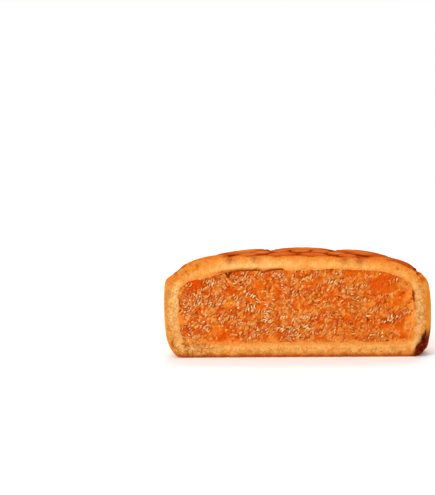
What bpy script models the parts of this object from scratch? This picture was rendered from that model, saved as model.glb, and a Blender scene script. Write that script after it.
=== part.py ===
"""Half of a round pineapple cake, cut through the middle and resting on its base, with the cut face towards -Y.

A baked crust with fluted sides and a moulded flower on top is wrapped round a thick slab of pineapple filling,
which shows in the cut. The whole cake is turned about its own axis first, and a knife then takes the front half
away, so the cut runs through crust and filling alike.

Metres, +Z up. The origin is the middle of the half's footprint, on the surface that it rests on.
"""

import math

import bmesh
import bpy
from mathutils import Matrix, Vector, noise

MM = 0.001

# The moulded medallion on top, which sits a little to the right of the flutes' axis
CROWN_HEIGHT = 25.15 * MM
MEDALLION_RADIUS = 30.2 * MM
MEDALLION_DROP = 2.8 * MM
MEDALLION_ROUNDING = 3.8
MEDALLION_SHIFT = 0.5 * MM

# (radius, height) in mm from the medallion's edge, over the channel and the rim, down the side to the base
SIDE_OUTLINE = (
    (30.45, 21.9), (30.75, 21.2), (31.1, 20.75), (31.45, 20.8), (31.75, 21.0), (32.05, 20.8),
    (32.3, 20.4), (32.6, 20.1), (33.1, 19.75), (33.55, 19.0), (33.9, 17.7), (34.15, 15.0),
    (34.25, 12.0), (34.2, 8.5), (34.0, 5.5), (33.5, 3.4), (32.7, 1.7), (31.5, 0.5), (29.9, 0.0),
)
SHOULDER_HEIGHTS = (19.5 * MM, 21.5 * MM)
# At the left end of the cut the dough has swollen over the channel, so a straight slope runs between two points
SLOPE = ((30.4 * MM, 22.0 * MM), (33.15 * MM, 19.7 * MM))
SLOPE_ARC = 0.22

# Flutes: lobes round the side with a groove between each two
LOBES = 19
STEPS_PER_LOBE = 8
CLOSEST_POINTS = 0.35 * MM
FLUTE_DEPTH = 2.0 * MM
FLUTE_START = 29.5 * MM
FLUTE_FULL = 33.2 * MM
GROOVE_ROUNDING = 0.12
LOBE_FULLNESS = 0.45
LOBE_DRIFT = 0.05
LOBE_TURN = math.radians(1.8)

# The medallion's flower: rings of petals as (petals, inner radius, outer radius, height), round a boss
PETAL_RINGS = (
    (6, 4.5 * MM, 10.9 * MM, 0.55 * MM),
    (16, 11.5 * MM, 16.4 * MM, 0.7 * MM),
    (8, 16.9 * MM, 29.9 * MM, 0.9 * MM),
)
PETAL_SQUARENESS = 2.6
PETAL_FULLNESS = 0.45
BOSS_RADIUS = 4.0 * MM
BOSS_HEIGHT = 0.5 * MM
# Rows of points across each ring, as shares of its width: closest at its edges, where it is steep
RING_ROWS = (0.0, 0.1, 0.28, 0.5, 0.72, 0.9, 1.0)

# The filling
# (radius, height) in mm from the middle of the filling's top, down its side to the edge of its bottom
FILLING_OUTLINE = (
    (0.0, 22.6), (8.0, 22.6), (14.0, 22.5), (19.0, 22.2), (23.5, 21.4), (27.0, 20.1), (29.0, 18.5),
    (29.9, 16.3), (30.15, 12.5), (30.15, 8.2), (29.7, 5.6), (28.7, 4.2), (26.9, 3.7),
)
FILLING_STEPS = 56
FILLING_WOBBLE = 0.3 * MM
DOUGH_GAP = 0.3 * MM

# A fold of dough that presses the filling down near the left end of the cut
FOLD_PLACE = (-24.0 * MM, 20.4 * MM)
FOLD_REACH = 3.1 * MM
FOLD_DEPTH = 1.3 * MM

# Hand-made unevenness of the crust, whose top leans down to the right
UNEVENNESS = 0.22 * MM
UNEVEN_WAVE = 11.0 * MM
LEAN = 0.03

# The cut
CUT_CELL = 1.05 * MM
SLIVER = 0.04 * MM
KNIFE_SPAN = 2 * 36.0 * MM
KNIFE_HEIGHT = 32.0 * MM
KNIFE_BELOW = 2.0 * MM
KNIFE_THICKNESS = 45.0 * MM
CUT_PLACE = -1.8 * MM
FILLING_ROUGHNESS = 0.34 * MM
CRUMB_ROUGHNESS = 0.1 * MM
LUMP_SIZE = 2.6 * MM
FILLING_MIDDLE = 13.2 * MM

CRUST_COLOUR = (0.80, 0.36, 0.075, 1.0)
FILLING_COLOUR = (0.74, 0.17, 0.022, 1.0)


def clamped(value):
    """The value kept between 0 and 1."""
    return min(1.0, max(0.0, value))


def plain_material(name, colour, roughness):
    """A Principled material of one colour."""
    material = bpy.data.materials.new(name)
    material.use_nodes = True
    shader = material.node_tree.nodes["Principled BSDF"]
    shader.inputs["Base Color"].default_value = colour
    shader.inputs["Roughness"].default_value = roughness
    shader.inputs["Metallic"].default_value = 0.0
    return material


def turned_solid(name, profile, steps):
    """A closed mesh turned a full circle about Z from (radius, height) points, top to bottom."""
    outline = bpy.data.meshes.new(name + "_outline")
    points = [(radius, 0.0, height) for radius, height in profile]
    outline.from_pydata(points, [(i, i + 1) for i in range(len(points) - 1)], [])
    turned = bpy.data.objects.new(name + "_outline", outline)
    bpy.context.scene.collection.objects.link(turned)
    turned.rotation_euler.z = math.pi / steps
    screw = turned.modifiers.new("Turn", "SCREW")
    screw.steps = screw.render_steps = steps
    screw.use_merge_vertices = True
    screw.merge_threshold = 0.001 * MM
    solid = made_mesh(name, turned)
    form = bmesh.new()
    form.from_mesh(solid.data)
    bmesh.ops.remove_doubles(form, verts=form.verts[:], dist=CLOSEST_POINTS)
    bmesh.ops.holes_fill(form, edges=[edge for edge in form.edges if edge.is_boundary])
    form.to_mesh(solid.data)
    form.free()
    return solid


def made_mesh(name, source):
    """The source as its modifiers leave it, as a plain mesh object in its place."""
    shape = source.evaluated_get(bpy.context.evaluated_depsgraph_get())
    mesh = bpy.data.meshes.new_from_object(shape)
    mesh.transform(shape.matrix_world)
    bpy.data.objects.remove(source)
    solid = bpy.data.objects.new(name, mesh)
    bpy.context.scene.collection.objects.link(solid)
    return solid


def shaped(solid, move):
    """Every vertex of the solid sent to where move(point) puts it."""
    for vertex in solid.data.vertices:
        vertex.co = move(vertex.co.copy())
    return solid


def groove_share(angle):
    """How deep the flutes are at an angle round the axis: 0 on a lobe's crest and 1 in a groove."""
    drifted = angle + LOBE_TURN + LOBE_DRIFT * math.sin(2 * angle)
    swell = math.sin(LOBES * drifted / 2) ** 2
    return 1.0 - (swell + GROOVE_ROUNDING * (1 - swell)) ** LOBE_FULLNESS


def petal_height(radius, angle, petals, inner, outer, height):
    """How far a ring of plump petals stands up at a place: 0 outside their outlines, steep just inside them."""
    along = 2 * (radius - inner) / (outer - inner) - 1
    across = 2 * ((petals * angle / math.tau + 0.5) % 1.0) - 1
    inside = clamped(1 - abs(along) ** PETAL_SQUARENESS - abs(across) ** PETAL_SQUARENESS)
    return height * inside**PETAL_FULLNESS


def flower_height(radius, angle):
    """How far the moulded flower stands above the medallion at a place."""
    boss = BOSS_HEIGHT * clamped(1 - (radius / BOSS_RADIUS) ** 3) ** 0.5
    return max(boss, *(petal_height(radius, angle, *ring) for ring in PETAL_RINGS))


def sloped(radius, height, angle):
    """The height of a point of the channel and rim, drawn towards the straight slope near the left end."""
    (inner, top), (outer, foot) = SLOPE
    if not inner < radius < outer:
        return height
    slope = top + (foot - top) * (radius - inner) / (outer - inner)
    near = math.exp(-(((math.pi - abs(angle)) / SLOPE_ARC) ** 2))
    return height + (slope - height) * near


def baked_form(point):
    """A point of the turned crust as baked: fluted, with the flower on top, and a little uneven."""
    radius = math.hypot(point.x, point.y)
    angle = math.atan2(point.y, point.x)
    fluted = clamped((radius - FLUTE_START) / (FLUTE_FULL - FLUTE_START)) * groove_share(angle)
    reach = radius - FLUTE_DEPTH * fluted
    height = point.z
    if point.z > SHOULDER_HEIGHTS[1]:
        height += flower_height(radius, angle)
    elif point.z > SHOULDER_HEIGHTS[0]:
        height = sloped(radius, height, angle)
    off_the_base = clamped(point.z / (3 * MM))
    reach += UNEVENNESS * off_the_base * noise.noise(point / UNEVEN_WAVE)
    height += UNEVENNESS * off_the_base * noise.noise(point / UNEVEN_WAVE + Vector((5.0, 2.0, 9.0)))
    height -= LEAN * point.x * point.z / CROWN_HEIGHT
    low, high = SHOULDER_HEIGHTS
    aside = MEDALLION_SHIFT * clamped((point.z - low) / (high - low))
    return Vector((reach * math.cos(angle) + aside, reach * math.sin(angle), height))


def crust_profile():
    """The crust's outline from the crown over the medallion, the rim and the side to the middle of the base."""
    radii = [0.0, BOSS_RADIUS / 2, 0.85 * BOSS_RADIUS]
    for _, inner, outer, _ in PETAL_RINGS:
        radii += [inner + share * (outer - inner) for share in RING_ROWS]
    radii.append(MEDALLION_RADIUS)
    crown = [(r, CROWN_HEIGHT - MEDALLION_DROP * (r / MEDALLION_RADIUS) ** MEDALLION_ROUNDING) for r in radii]
    side = [(radius * MM, height * MM) for radius, height in SIDE_OUTLINE]
    return crown + side


def pressed_form(point):
    """A point of the turned filling as it lies in the dough, uneven and pressed down under the fold."""
    radius = math.hypot(point.x, point.y)
    angle = math.atan2(point.y, point.x)
    uneven = noise.noise(point / UNEVEN_WAVE * 1.6 + Vector((3.0, 7.0, 1.0)))
    reach = radius + FILLING_WOBBLE * uneven
    aside = math.hypot(point.x - FOLD_PLACE[0], point.y)
    near = math.exp(-((aside / FOLD_REACH) ** 2))
    upper = clamped((point.z - FILLING_MIDDLE) / (FOLD_PLACE[1] - FILLING_MIDDLE))
    height = point.z + FILLING_WOBBLE * uneven * upper - FOLD_DEPTH * near * upper
    return Vector((reach * math.cos(angle), reach * math.sin(angle), height))


def filling_profile():
    """The filling's outline from the middle of its top to the edge of its bottom."""
    return [(radius * MM, height * MM) for radius, height in FILLING_OUTLINE]


def lump_depth(x, height):
    """How far the cut surface lies behind the knife's plane: rougher in the filling than in the dough."""
    to_edge = min(30.0 * MM - abs(x), 9.0 * MM - abs(height - FILLING_MIDDLE))
    roughness = CRUMB_ROUGHNESS + (FILLING_ROUGHNESS - CRUMB_ROUGHNESS) * clamped(to_edge / (1.5 * MM))
    place = Vector((x, 0.0, height)) / LUMP_SIZE
    return roughness * (noise.noise(place) + 0.6 * noise.noise(place * 2.3))


def knife():
    """The block that takes the front away. Its back face, just in front of the axis, is as rough as the cut."""
    block = bpy.data.meshes.new("knife")
    form = bmesh.new()
    bmesh.ops.create_grid(
        form,
        x_segments=round(KNIFE_SPAN / CUT_CELL),
        y_segments=round(KNIFE_HEIGHT / CUT_CELL),
        size=0.5,
        matrix=Matrix.Rotation(math.radians(90), 4, "X"),
    )
    for vertex in form.verts:
        x = vertex.co.x * KNIFE_SPAN
        height = (vertex.co.z + 0.5) * KNIFE_HEIGHT - KNIFE_BELOW
        vertex.co = Vector((x, CUT_PLACE + lump_depth(x, height), height))
    pushed = bmesh.ops.extrude_face_region(form, geom=form.faces[:])
    for item in pushed["geom"]:
        if isinstance(item, bmesh.types.BMVert):
            item.co.y = -KNIFE_THICKNESS
    bmesh.ops.recalc_face_normals(form, faces=form.faces[:])
    form.to_mesh(block)
    form.free()
    return hidden_cutter(bpy.data.objects.new("knife", block))


def hidden_cutter(cutter):
    """The cutter in the collection of cutters, drawn as wire and left out of the part."""
    cutter.hide_render = True
    cutter.display_type = "WIRE"
    for collection in cutter.users_collection:
        collection.objects.unlink(cutter)
    bpy.data.collections["cutters"].objects.link(cutter)
    return cutter


def cut_away(solid, cutter):
    """A Boolean modifier that takes the cutter out of the solid."""
    cut = solid.modifiers.new("Cut " + cutter.name, "BOOLEAN")
    cut.operation = "DIFFERENCE"
    cut.solver = "EXACT"
    cut.object = cutter


def hollow_for(filling):
    """The room that the filling takes in the crust: its own form, grown by the gap between them."""
    room = filling.copy()
    room.data = filling.data.copy()
    room.name = "hollow"
    bpy.context.scene.collection.objects.link(room)
    grow = room.modifiers.new("Grow", "DISPLACE")
    grow.strength = DOUGH_GAP
    grow.mid_level = 0.0
    return hidden_cutter(made_mesh("hollow", room))


def without_slivers(solid):
    """The solid's mesh in triangles, with the points closer than a sliver's width made one."""
    form = bmesh.new()
    form.from_mesh(solid.data)
    bmesh.ops.remove_doubles(form, verts=form.verts[:], dist=SLIVER)
    bmesh.ops.dissolve_degenerate(form, edges=form.edges[:], dist=SLIVER / 4)
    bmesh.ops.triangulate(form, faces=form.faces[:])
    form.to_mesh(solid.data)
    form.free()
    return solid


def finished(name, cut_solid, collection, material, smooth_angle):
    """The cut solid as it is left by its modifiers, in the part's collection and in its material."""
    solid = without_slivers(made_mesh(name, cut_solid))
    bpy.context.scene.collection.objects.unlink(solid)
    collection.objects.link(solid)
    solid.data.materials.append(material)
    solid.data.shade_smooth()
    solid.data.set_sharp_from_angle(angle=math.radians(smooth_angle))
    return solid


def middle_of_footprint(solids):
    """The middle of the solids' common box, seen from above, at the height of their lowest point."""
    bpy.context.view_layer.update()
    graph = bpy.context.evaluated_depsgraph_get()
    corners = [Vector(corner) for solid in solids for corner in solid.evaluated_get(graph).bound_box]
    low = [min(corner[axis] for corner in corners) for axis in range(3)]
    high = [max(corner[axis] for corner in corners) for axis in range(3)]
    return Vector(((low[0] + high[0]) / 2, (low[1] + high[1]) / 2, low[2]))


def main():
    for leftover in list(bpy.data.objects):
        bpy.data.objects.remove(leftover)
    part = bpy.data.collections.new("pineapple_cake")
    cutters = bpy.data.collections.new("cutters")
    bpy.context.scene.collection.children.link(part)
    bpy.context.scene.collection.children.link(cutters)

    crust = shaped(turned_solid("crust", crust_profile(), LOBES * STEPS_PER_LOBE), baked_form)
    filling = shaped(turned_solid("filling", filling_profile(), FILLING_STEPS), pressed_form)
    slicer = knife()
    cut_away(crust, hollow_for(filling))
    cut_away(crust, slicer)
    cut_away(filling, slicer)
    crust = finished("crust", crust, part, plain_material("baked_dough", CRUST_COLOUR, 0.5), 60)
    filling = finished("filling", filling, part, plain_material("pineapple_filling", FILLING_COLOUR, 0.3), 60)

    stand = bpy.data.objects.new("stand", None)
    part.objects.link(stand)
    stand.location = -middle_of_footprint([crust, filling])
    for piece in (crust, filling, *cutters.objects):
        piece.parent = stand


main()
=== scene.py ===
"""The looks of a halved, moulded pineapple cake: its baked crust, its pulpy filling, and a pale studio.

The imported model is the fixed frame. Each class below makes one sub-assembly over it: the crust with its crumb
at the cut, the filling, and the fibres and grains of fruit that stand out of the cut. Everything is in
metres, except where a comment or a docstring says millimetres.
"""

from __future__ import annotations

import logging
import math
from contextlib import contextmanager
from dataclasses import dataclass, field
from enum import Enum
from typing import Any, Iterator

import bmesh
import bpy
import numpy as np
from mathutils import Matrix, Vector, kdtree, noise

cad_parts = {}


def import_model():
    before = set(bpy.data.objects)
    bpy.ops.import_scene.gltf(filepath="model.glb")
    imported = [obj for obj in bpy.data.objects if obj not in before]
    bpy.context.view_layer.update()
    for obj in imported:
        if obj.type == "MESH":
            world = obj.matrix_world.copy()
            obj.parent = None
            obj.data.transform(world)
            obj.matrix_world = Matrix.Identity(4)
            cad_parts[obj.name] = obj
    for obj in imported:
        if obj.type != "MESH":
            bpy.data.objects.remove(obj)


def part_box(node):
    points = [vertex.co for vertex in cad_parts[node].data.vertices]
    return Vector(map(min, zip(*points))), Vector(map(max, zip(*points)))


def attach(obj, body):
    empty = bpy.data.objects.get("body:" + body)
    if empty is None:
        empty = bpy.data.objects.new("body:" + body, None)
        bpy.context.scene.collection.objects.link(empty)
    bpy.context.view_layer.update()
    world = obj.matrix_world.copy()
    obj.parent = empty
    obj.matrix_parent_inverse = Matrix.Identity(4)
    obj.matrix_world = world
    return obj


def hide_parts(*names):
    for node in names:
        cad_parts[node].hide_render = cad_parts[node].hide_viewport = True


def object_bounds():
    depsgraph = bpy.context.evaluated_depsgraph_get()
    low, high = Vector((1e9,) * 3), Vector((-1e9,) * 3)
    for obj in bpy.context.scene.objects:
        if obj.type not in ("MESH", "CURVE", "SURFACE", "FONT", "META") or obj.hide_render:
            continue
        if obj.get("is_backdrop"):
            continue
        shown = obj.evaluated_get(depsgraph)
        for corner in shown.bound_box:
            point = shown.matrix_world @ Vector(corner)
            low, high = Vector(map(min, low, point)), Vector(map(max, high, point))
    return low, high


MM = 0.001
# a length far below anything modelled, in metres
HAIR = 1e-9
FRAME_SIZE = (435, 495)

log = logging.getLogger("pineapple_cake")

Array = np.ndarray
Colour = tuple[float, float, float]
Span = tuple[float, float]
Outline = tuple[Span, ...]


# ----------------------------------------------------------------------------------------------------------
# Small helpers on numbers
# ----------------------------------------------------------------------------------------------------------


def clamped(values: Array) -> Array:
    """The values kept between 0 and 1."""
    return np.clip(values, 0.0, 1.0)


def eased(values: Array, start: float, end: float) -> Array:
    """A smooth rise from 0 at start to 1 at end."""
    share = clamped((values - start) / (end - start))
    return share * share * (3 - 2 * share)


def bump(values: Array, middle: float, reach: float) -> Array:
    """A smooth bump: 1 at the middle, and nearly 0 two reaches away."""
    return np.exp(-(((values - middle) / reach) ** 2))


def grain(points: Array, size: float, seed: float = 0.0) -> Array:
    """Smooth noise at each point, from about -1 to 1.

    Args:
        points: One row of X, Y and Z for each point.
        size: The width of the noise's lumps.
        seed: A shift that gives another pattern.

    Returns:
        One value for each point.
    """
    return np.array([noise.noise(place) for place in (points / size + seed).tolist()])


def on_plane(x: Array, z: Array) -> Array:
    """Places on the cut as points of one plane, one row each."""
    return np.column_stack([x, np.zeros(len(x)), z])


def polar(points: Array) -> tuple[Array, Array]:
    """The points' distance from the cake's axis and their angle round it."""
    return np.hypot(points[:, 0], points[:, 1]), np.arctan2(points[:, 1], points[:, 0])


def nearest(sites: Array, places: Array) -> tuple[Array, Array]:
    """The number of the site that is nearest to each place, and how far away it is."""
    tree = kdtree.KDTree(len(sites))
    for number, site in enumerate(sites.tolist()):
        tree.insert(site, number)
    tree.balance()
    found = [tree.find(place) for place in places.tolist()]
    return np.array([number for _, number, _ in found]), np.array([away for _, _, away in found])


def cells(points: Array, size: float, seed: float = 0.0) -> tuple[Array, Array]:
    """Irregular cells round scattered seeds.

    Args:
        points: One row of X, Y and Z for each point.
        size: The width of a cell.
        seed: A shift that gives another pattern.

    Returns:
        How far each point is inside its cell (0 on its border), and a number from 0 to 1 that each cell has.
    """
    inside, tag = np.empty(len(points)), np.empty(len(points))
    for row, place in enumerate((points / size + seed).tolist()):
        near, seeds = noise.voronoi(place)
        inside[row] = near[1] - near[0]
        tag[row] = noise.cell(seeds[0] * 7.31) % 1.0
    return inside, tag


def drawn_through(outline: Outline, count: int) -> Array:
    """Points evenly spaced along a smooth curve through an outline.

    Args:
        outline: The points that the curve goes through, in millimetres.
        count: How many points to return, the first and the last of the outline included.

    Returns:
        One row of two numbers for each point, in metres.
    """
    knots = np.array(outline) * MM
    knots = np.vstack([2 * knots[0] - knots[1], knots, 2 * knots[-1] - knots[-2]])
    points_between_knots = 24
    share = np.linspace(0, 1, points_between_knots, endpoint=False)[:, None]
    runs = []
    for a, b, c, d in zip(knots, knots[1:], knots[2:], knots[3:]):
        bend = 2 * b + (c - a) * share + (2 * a - 5 * b + 4 * c - d) * share**2
        runs.append((bend + (3 * b - a - 3 * c + d) * share**3) / 2)
    fine = np.vstack([*runs, knots[-2]])
    walked = np.concatenate([[0.0], np.cumsum(np.hypot(*np.diff(fine, axis=0).T))])
    stops = np.linspace(0, walked[-1], count)
    return np.column_stack([np.interp(stops, walked, fine[:, axis]) for axis in (0, 1)])


def line_distance(x: Array, z: Array, line: Outline) -> Array:
    """How far places on the cut are from a line drawn through points given in millimetres."""
    least = np.full(len(x), np.inf)
    for (ax, az), (bx, bz) in zip(line, line[1:]):
        start, run = np.array((ax, az)) * MM, np.array((bx - ax, bz - az)) * MM
        share = clamped(((x - start[0]) * run[0] + (z - start[1]) * run[1]) / (run @ run))
        least = np.minimum(least, np.hypot(x - start[0] - share * run[0], z - start[1] - share * run[1]))
    return least


@dataclass(frozen=True)
class Zone:
    """A soft-edged area, in millimetres: nothing before the first line of a pair, and full past the second."""

    strength: float = 1.0
    x: Span | None = None
    z: Span | None = None

    def at(self, x: Array, z: Array) -> Array:
        """How far places are in the zone, up to its strength."""
        share = np.full(len(x), self.strength)
        for places, lines in ((x, self.x), (z, self.z)):
            if lines:
                share = share * eased(places, lines[0] * MM, lines[1] * MM)
        return share

    @staticmethod
    def most(zones: tuple[Zone, ...], x: Array, z: Array) -> Array:
        """How far places are in any of the zones."""
        return np.maximum.reduce([zone.at(x, z) for zone in zones])


@dataclass(frozen=True)
class Patches:
    """Soft-edged patches of smooth noise: nothing where the noise is low, and full where it is high."""

    size: float
    seed: float
    low: float
    high: float

    def at(self, points: Array) -> Array:
        """How far the points are in a patch, from 0 to 1."""
        return eased(grain(points, self.size, self.seed), self.low, self.high)


# ----------------------------------------------------------------------------------------------------------
# The modelling bench
# ----------------------------------------------------------------------------------------------------------


class Bench:
    """The modelling steps that the pieces share."""

    merge_distance = 0.001 * MM

    @staticmethod
    def clear() -> None:
        """Leaves nothing selected and no piece active."""
        if bpy.context.mode != "OBJECT":
            bpy.ops.object.mode_set(mode="OBJECT")
        bpy.ops.object.select_all(action="DESELECT")

    @staticmethod
    def take(*pieces: bpy.types.Object) -> None:
        """Selects the pieces alone, the first one active."""
        Bench.clear()
        for piece in pieces:
            piece.select_set(True)
        bpy.context.view_layer.objects.active = pieces[0]

    @staticmethod
    def named(name: str) -> bpy.types.Object:
        """The piece that has just been added, with its name."""
        piece = bpy.context.active_object
        piece.name = piece.data.name = name
        return piece

    @staticmethod
    @contextmanager
    def editing(piece: bpy.types.Object, mode: str = "VERT") -> Iterator[None]:
        """Edit mode on one piece, with nothing selected at the start."""
        Bench.take(piece)
        bpy.ops.object.mode_set(mode="EDIT")
        bpy.ops.mesh.select_mode(type=mode)
        bpy.ops.mesh.select_all(action="DESELECT")
        yield
        bpy.ops.object.mode_set(mode="OBJECT")

    @staticmethod
    def select_boundary(piece: bpy.types.Object) -> None:
        """Selects the open edges of the piece in edit mode."""
        form = bmesh.from_edit_mesh(piece.data)
        for edge in form.edges:
            edge.select = edge.is_boundary
        form.select_flush_mode()
        bmesh.update_edit_mesh(piece.data)

    @staticmethod
    def points(piece: bpy.types.Object) -> Array:
        """The places of the piece's vertices, one row each."""
        flat = np.empty(len(piece.data.vertices) * 3)
        piece.data.vertices.foreach_get("co", flat)
        return flat.reshape(-1, 3)

    @staticmethod
    def put(piece: bpy.types.Object, points: Array) -> None:
        """Moves the piece's vertices to the points."""
        piece.data.vertices.foreach_set("co", np.ascontiguousarray(points, dtype=float).ravel())
        piece.data.update()

    @staticmethod
    def mark(piece: bpy.types.Object, name: str, values: Array) -> None:
        """Stores a number for each vertex, which the piece's material reads."""
        layer = piece.data.attributes.new(name, "FLOAT", "POINT")
        layer.data.foreach_set("value", np.asarray(values, dtype=np.float32))

    @staticmethod
    def smooth(piece: bpy.types.Object, angle: float) -> None:
        """Shades the piece smooth, except at edges sharper than the angle in degrees."""
        Bench.take(piece)
        bpy.ops.object.shade_smooth_by_angle(angle=math.radians(angle))

    @staticmethod
    def face_outwards(piece: bpy.types.Object) -> None:
        """Merges doubled points and turns every face outwards."""
        with Bench.editing(piece):
            bpy.ops.mesh.select_all(action="SELECT")
            bpy.ops.mesh.remove_doubles(threshold=Bench.merge_distance)
            bpy.ops.mesh.normals_make_consistent(inside=False)

    @staticmethod
    def half_turn(name: str, rows: Array, steps: int) -> tuple[bpy.types.Object, Array, Array]:
        """A shell spun half a turn about Z from an outline drawn point by point.

        Args:
            name: The piece's name.
            rows: The outline's (radius, height) points, which start and end on the axis.
            steps: The number of steps in the half turn.

        Returns:
            The piece, and the row number and the angle of each of its vertices.
        """
        Bench.clear()
        bpy.ops.mesh.primitive_plane_add(size=MM)
        shell = Bench.named(name)
        with Bench.editing(shell):
            bpy.ops.mesh.select_all(action="SELECT")
            bpy.ops.mesh.merge(type="CENTER")
            bpy.ops.transform.translate(value=(rows[0][0], 0.0, rows[0][1]))
            for step in np.diff(rows, axis=0):
                bpy.ops.mesh.extrude_region_move(TRANSFORM_OT_translate={"value": (step[0], 0.0, step[1])})
            bpy.ops.mesh.select_all(action="SELECT")
            bpy.ops.mesh.spin(steps=steps, angle=math.pi, center=(0, 0, 0), axis=(0, 0, 1))
            bpy.ops.mesh.select_all(action="SELECT")
            bpy.ops.mesh.remove_doubles(threshold=Bench.merge_distance)
        places = Bench.points(shell)
        radius, angle = polar(places)
        row = nearest(np.insert(rows, 1, 0.0, axis=1), on_plane(radius, places[:, 2]))[0]
        return shell, row, np.abs(angle)


@dataclass(frozen=True)
class Seat:
    """Where the cake's own axis stands in the frame, and the box that every piece stays in."""

    axis: Array
    low: Array
    high: Array
    aside: float = 0.07 * MM
    # how far the axis lies behind the foremost point of the filling's solid
    behind_front: float = 2.11 * MM

    @classmethod
    def in_frame(cls, box: tuple[Any, Any]) -> Seat:
        """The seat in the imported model, whose whole box is given."""
        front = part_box("filling")[0][1]
        axis = Vector((cls.aside, front + cls.behind_front, 0.0))
        return cls(np.array(axis), *(np.array(Vector(corner)) for corner in box))

    def put(self, piece: bpy.types.Object, points: Array) -> None:
        """Moves the piece's vertices to points given about the cake's axis, kept inside the box."""
        Bench.put(piece, np.clip(points + self.axis, self.low, self.high))


# ----------------------------------------------------------------------------------------------------------
# Shader recipes
# ----------------------------------------------------------------------------------------------------------


class Amount:
    """A number that varies over a surface: a socket whose arithmetic adds Math nodes."""

    def __init__(self, recipe: Recipe, socket: bpy.types.NodeSocket) -> None:
        """Wraps a socket of the recipe's node tree."""
        self.recipe = recipe
        self.socket = socket

    def _math(self, operation: str, *values: Any) -> Amount:
        """One Math node on the values, which are Amounts or numbers."""
        return self.recipe.node("ShaderNodeMath", {"operation": operation}, dict(enumerate(values)))

    def __add__(self, other: Any) -> Amount:
        """The sum."""
        return self._math("ADD", self, other)

    def __sub__(self, other: Any) -> Amount:
        """The difference."""
        return self._math("SUBTRACT", self, other)

    def __rsub__(self, other: Any) -> Amount:
        """The difference from a number."""
        return self._math("SUBTRACT", other, self)

    def __mul__(self, other: Any) -> Amount:
        """The product."""
        return self._math("MULTIPLY", self, other)

    def span(self, low: float, high: float, bottom: float = 0.0, top: float = 1.0) -> Amount:
        """The amount's span from low to high spread over bottom to top, and kept there."""
        settings = {"clamp": True}
        return self.recipe.node("ShaderNodeMapRange", settings, {0: self, 1: low, 2: high, 3: bottom, 4: top})


class Recipe:
    """One material and its nodes."""

    def __init__(self, name: str) -> None:
        """Starts a material with a Principled shader."""
        self.material = bpy.data.materials.new(name)
        self.material.use_nodes = True
        self.tree = self.material.node_tree
        self.shader = self.tree.nodes["Principled BSDF"]

    def node(self, kind: str, settings: dict[str, Any], inputs: dict[Any, Any], output: Any = 0) -> Amount:
        """Adds any node.

        Args:
            kind: The node's type.
            settings: Its properties, which are set before its sockets.
            inputs: The value or link of each socket, by name or number.
            output: The name or number of the socket to return.

        Returns:
            The node's output.
        """
        node = self.tree.nodes.new(kind)
        for key, value in settings.items():
            setattr(node, key, value)
        for key, value in inputs.items():
            self._feed(node.inputs[key], value)
        return Amount(self, node.outputs[output])

    def _feed(self, socket: bpy.types.NodeSocket, value: Any) -> None:
        """Links or sets one input."""
        if isinstance(value, Amount):
            self.tree.links.new(value.socket, socket)
        elif isinstance(value, tuple) and socket.type == "RGBA":
            socket.default_value = (*value, 1.0)
        else:
            socket.default_value = value

    def place(self) -> Amount:
        """The surface point in the piece's own coordinates."""
        return self.node("ShaderNodeTexCoord", {}, {}, "Object")

    def mark(self, name: str) -> Amount:
        """A number that the piece's mesh stores for each vertex."""
        return self.node("ShaderNodeAttribute", {"attribute_name": name}, {}, "Fac")

    def noise(self, size: float, detail: float = 2.0, rough: float = 0.5, output: str = "Fac") -> Amount:
        """Noise from 0 to 1 whose lumps have a size in metres, or its colour."""
        inputs = {"Vector": self.place(), "Scale": 1 / size, "Detail": detail, "Roughness": rough}
        return self.node("ShaderNodeTexNoise", {}, inputs, output)

    def mix(self, share: Any, first: Any, second: Any) -> Amount:
        """A colour between two others."""
        settings = {"data_type": "RGBA", "clamp_factor": True}
        return self.node("ShaderNodeMix", settings, {0: share, 6: first, 7: second}, 2)

    def bumps(self, height: Amount, depth: float) -> Amount:
        """A normal bent by a height, whose full span stands for a depth in metres."""
        inputs = {"Height": height, "Distance": depth, "Strength": 1.0}
        return self.node("ShaderNodeBump", {}, inputs, "Normal")

    def finish(self, **sockets: Any) -> bpy.types.Material:
        """Feeds the shader's sockets, given by their names with underscores, and returns the material."""
        for name, value in sockets.items():
            self._feed(self.shader.inputs[name.replace("_", " ")], value)
        return self.material


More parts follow.
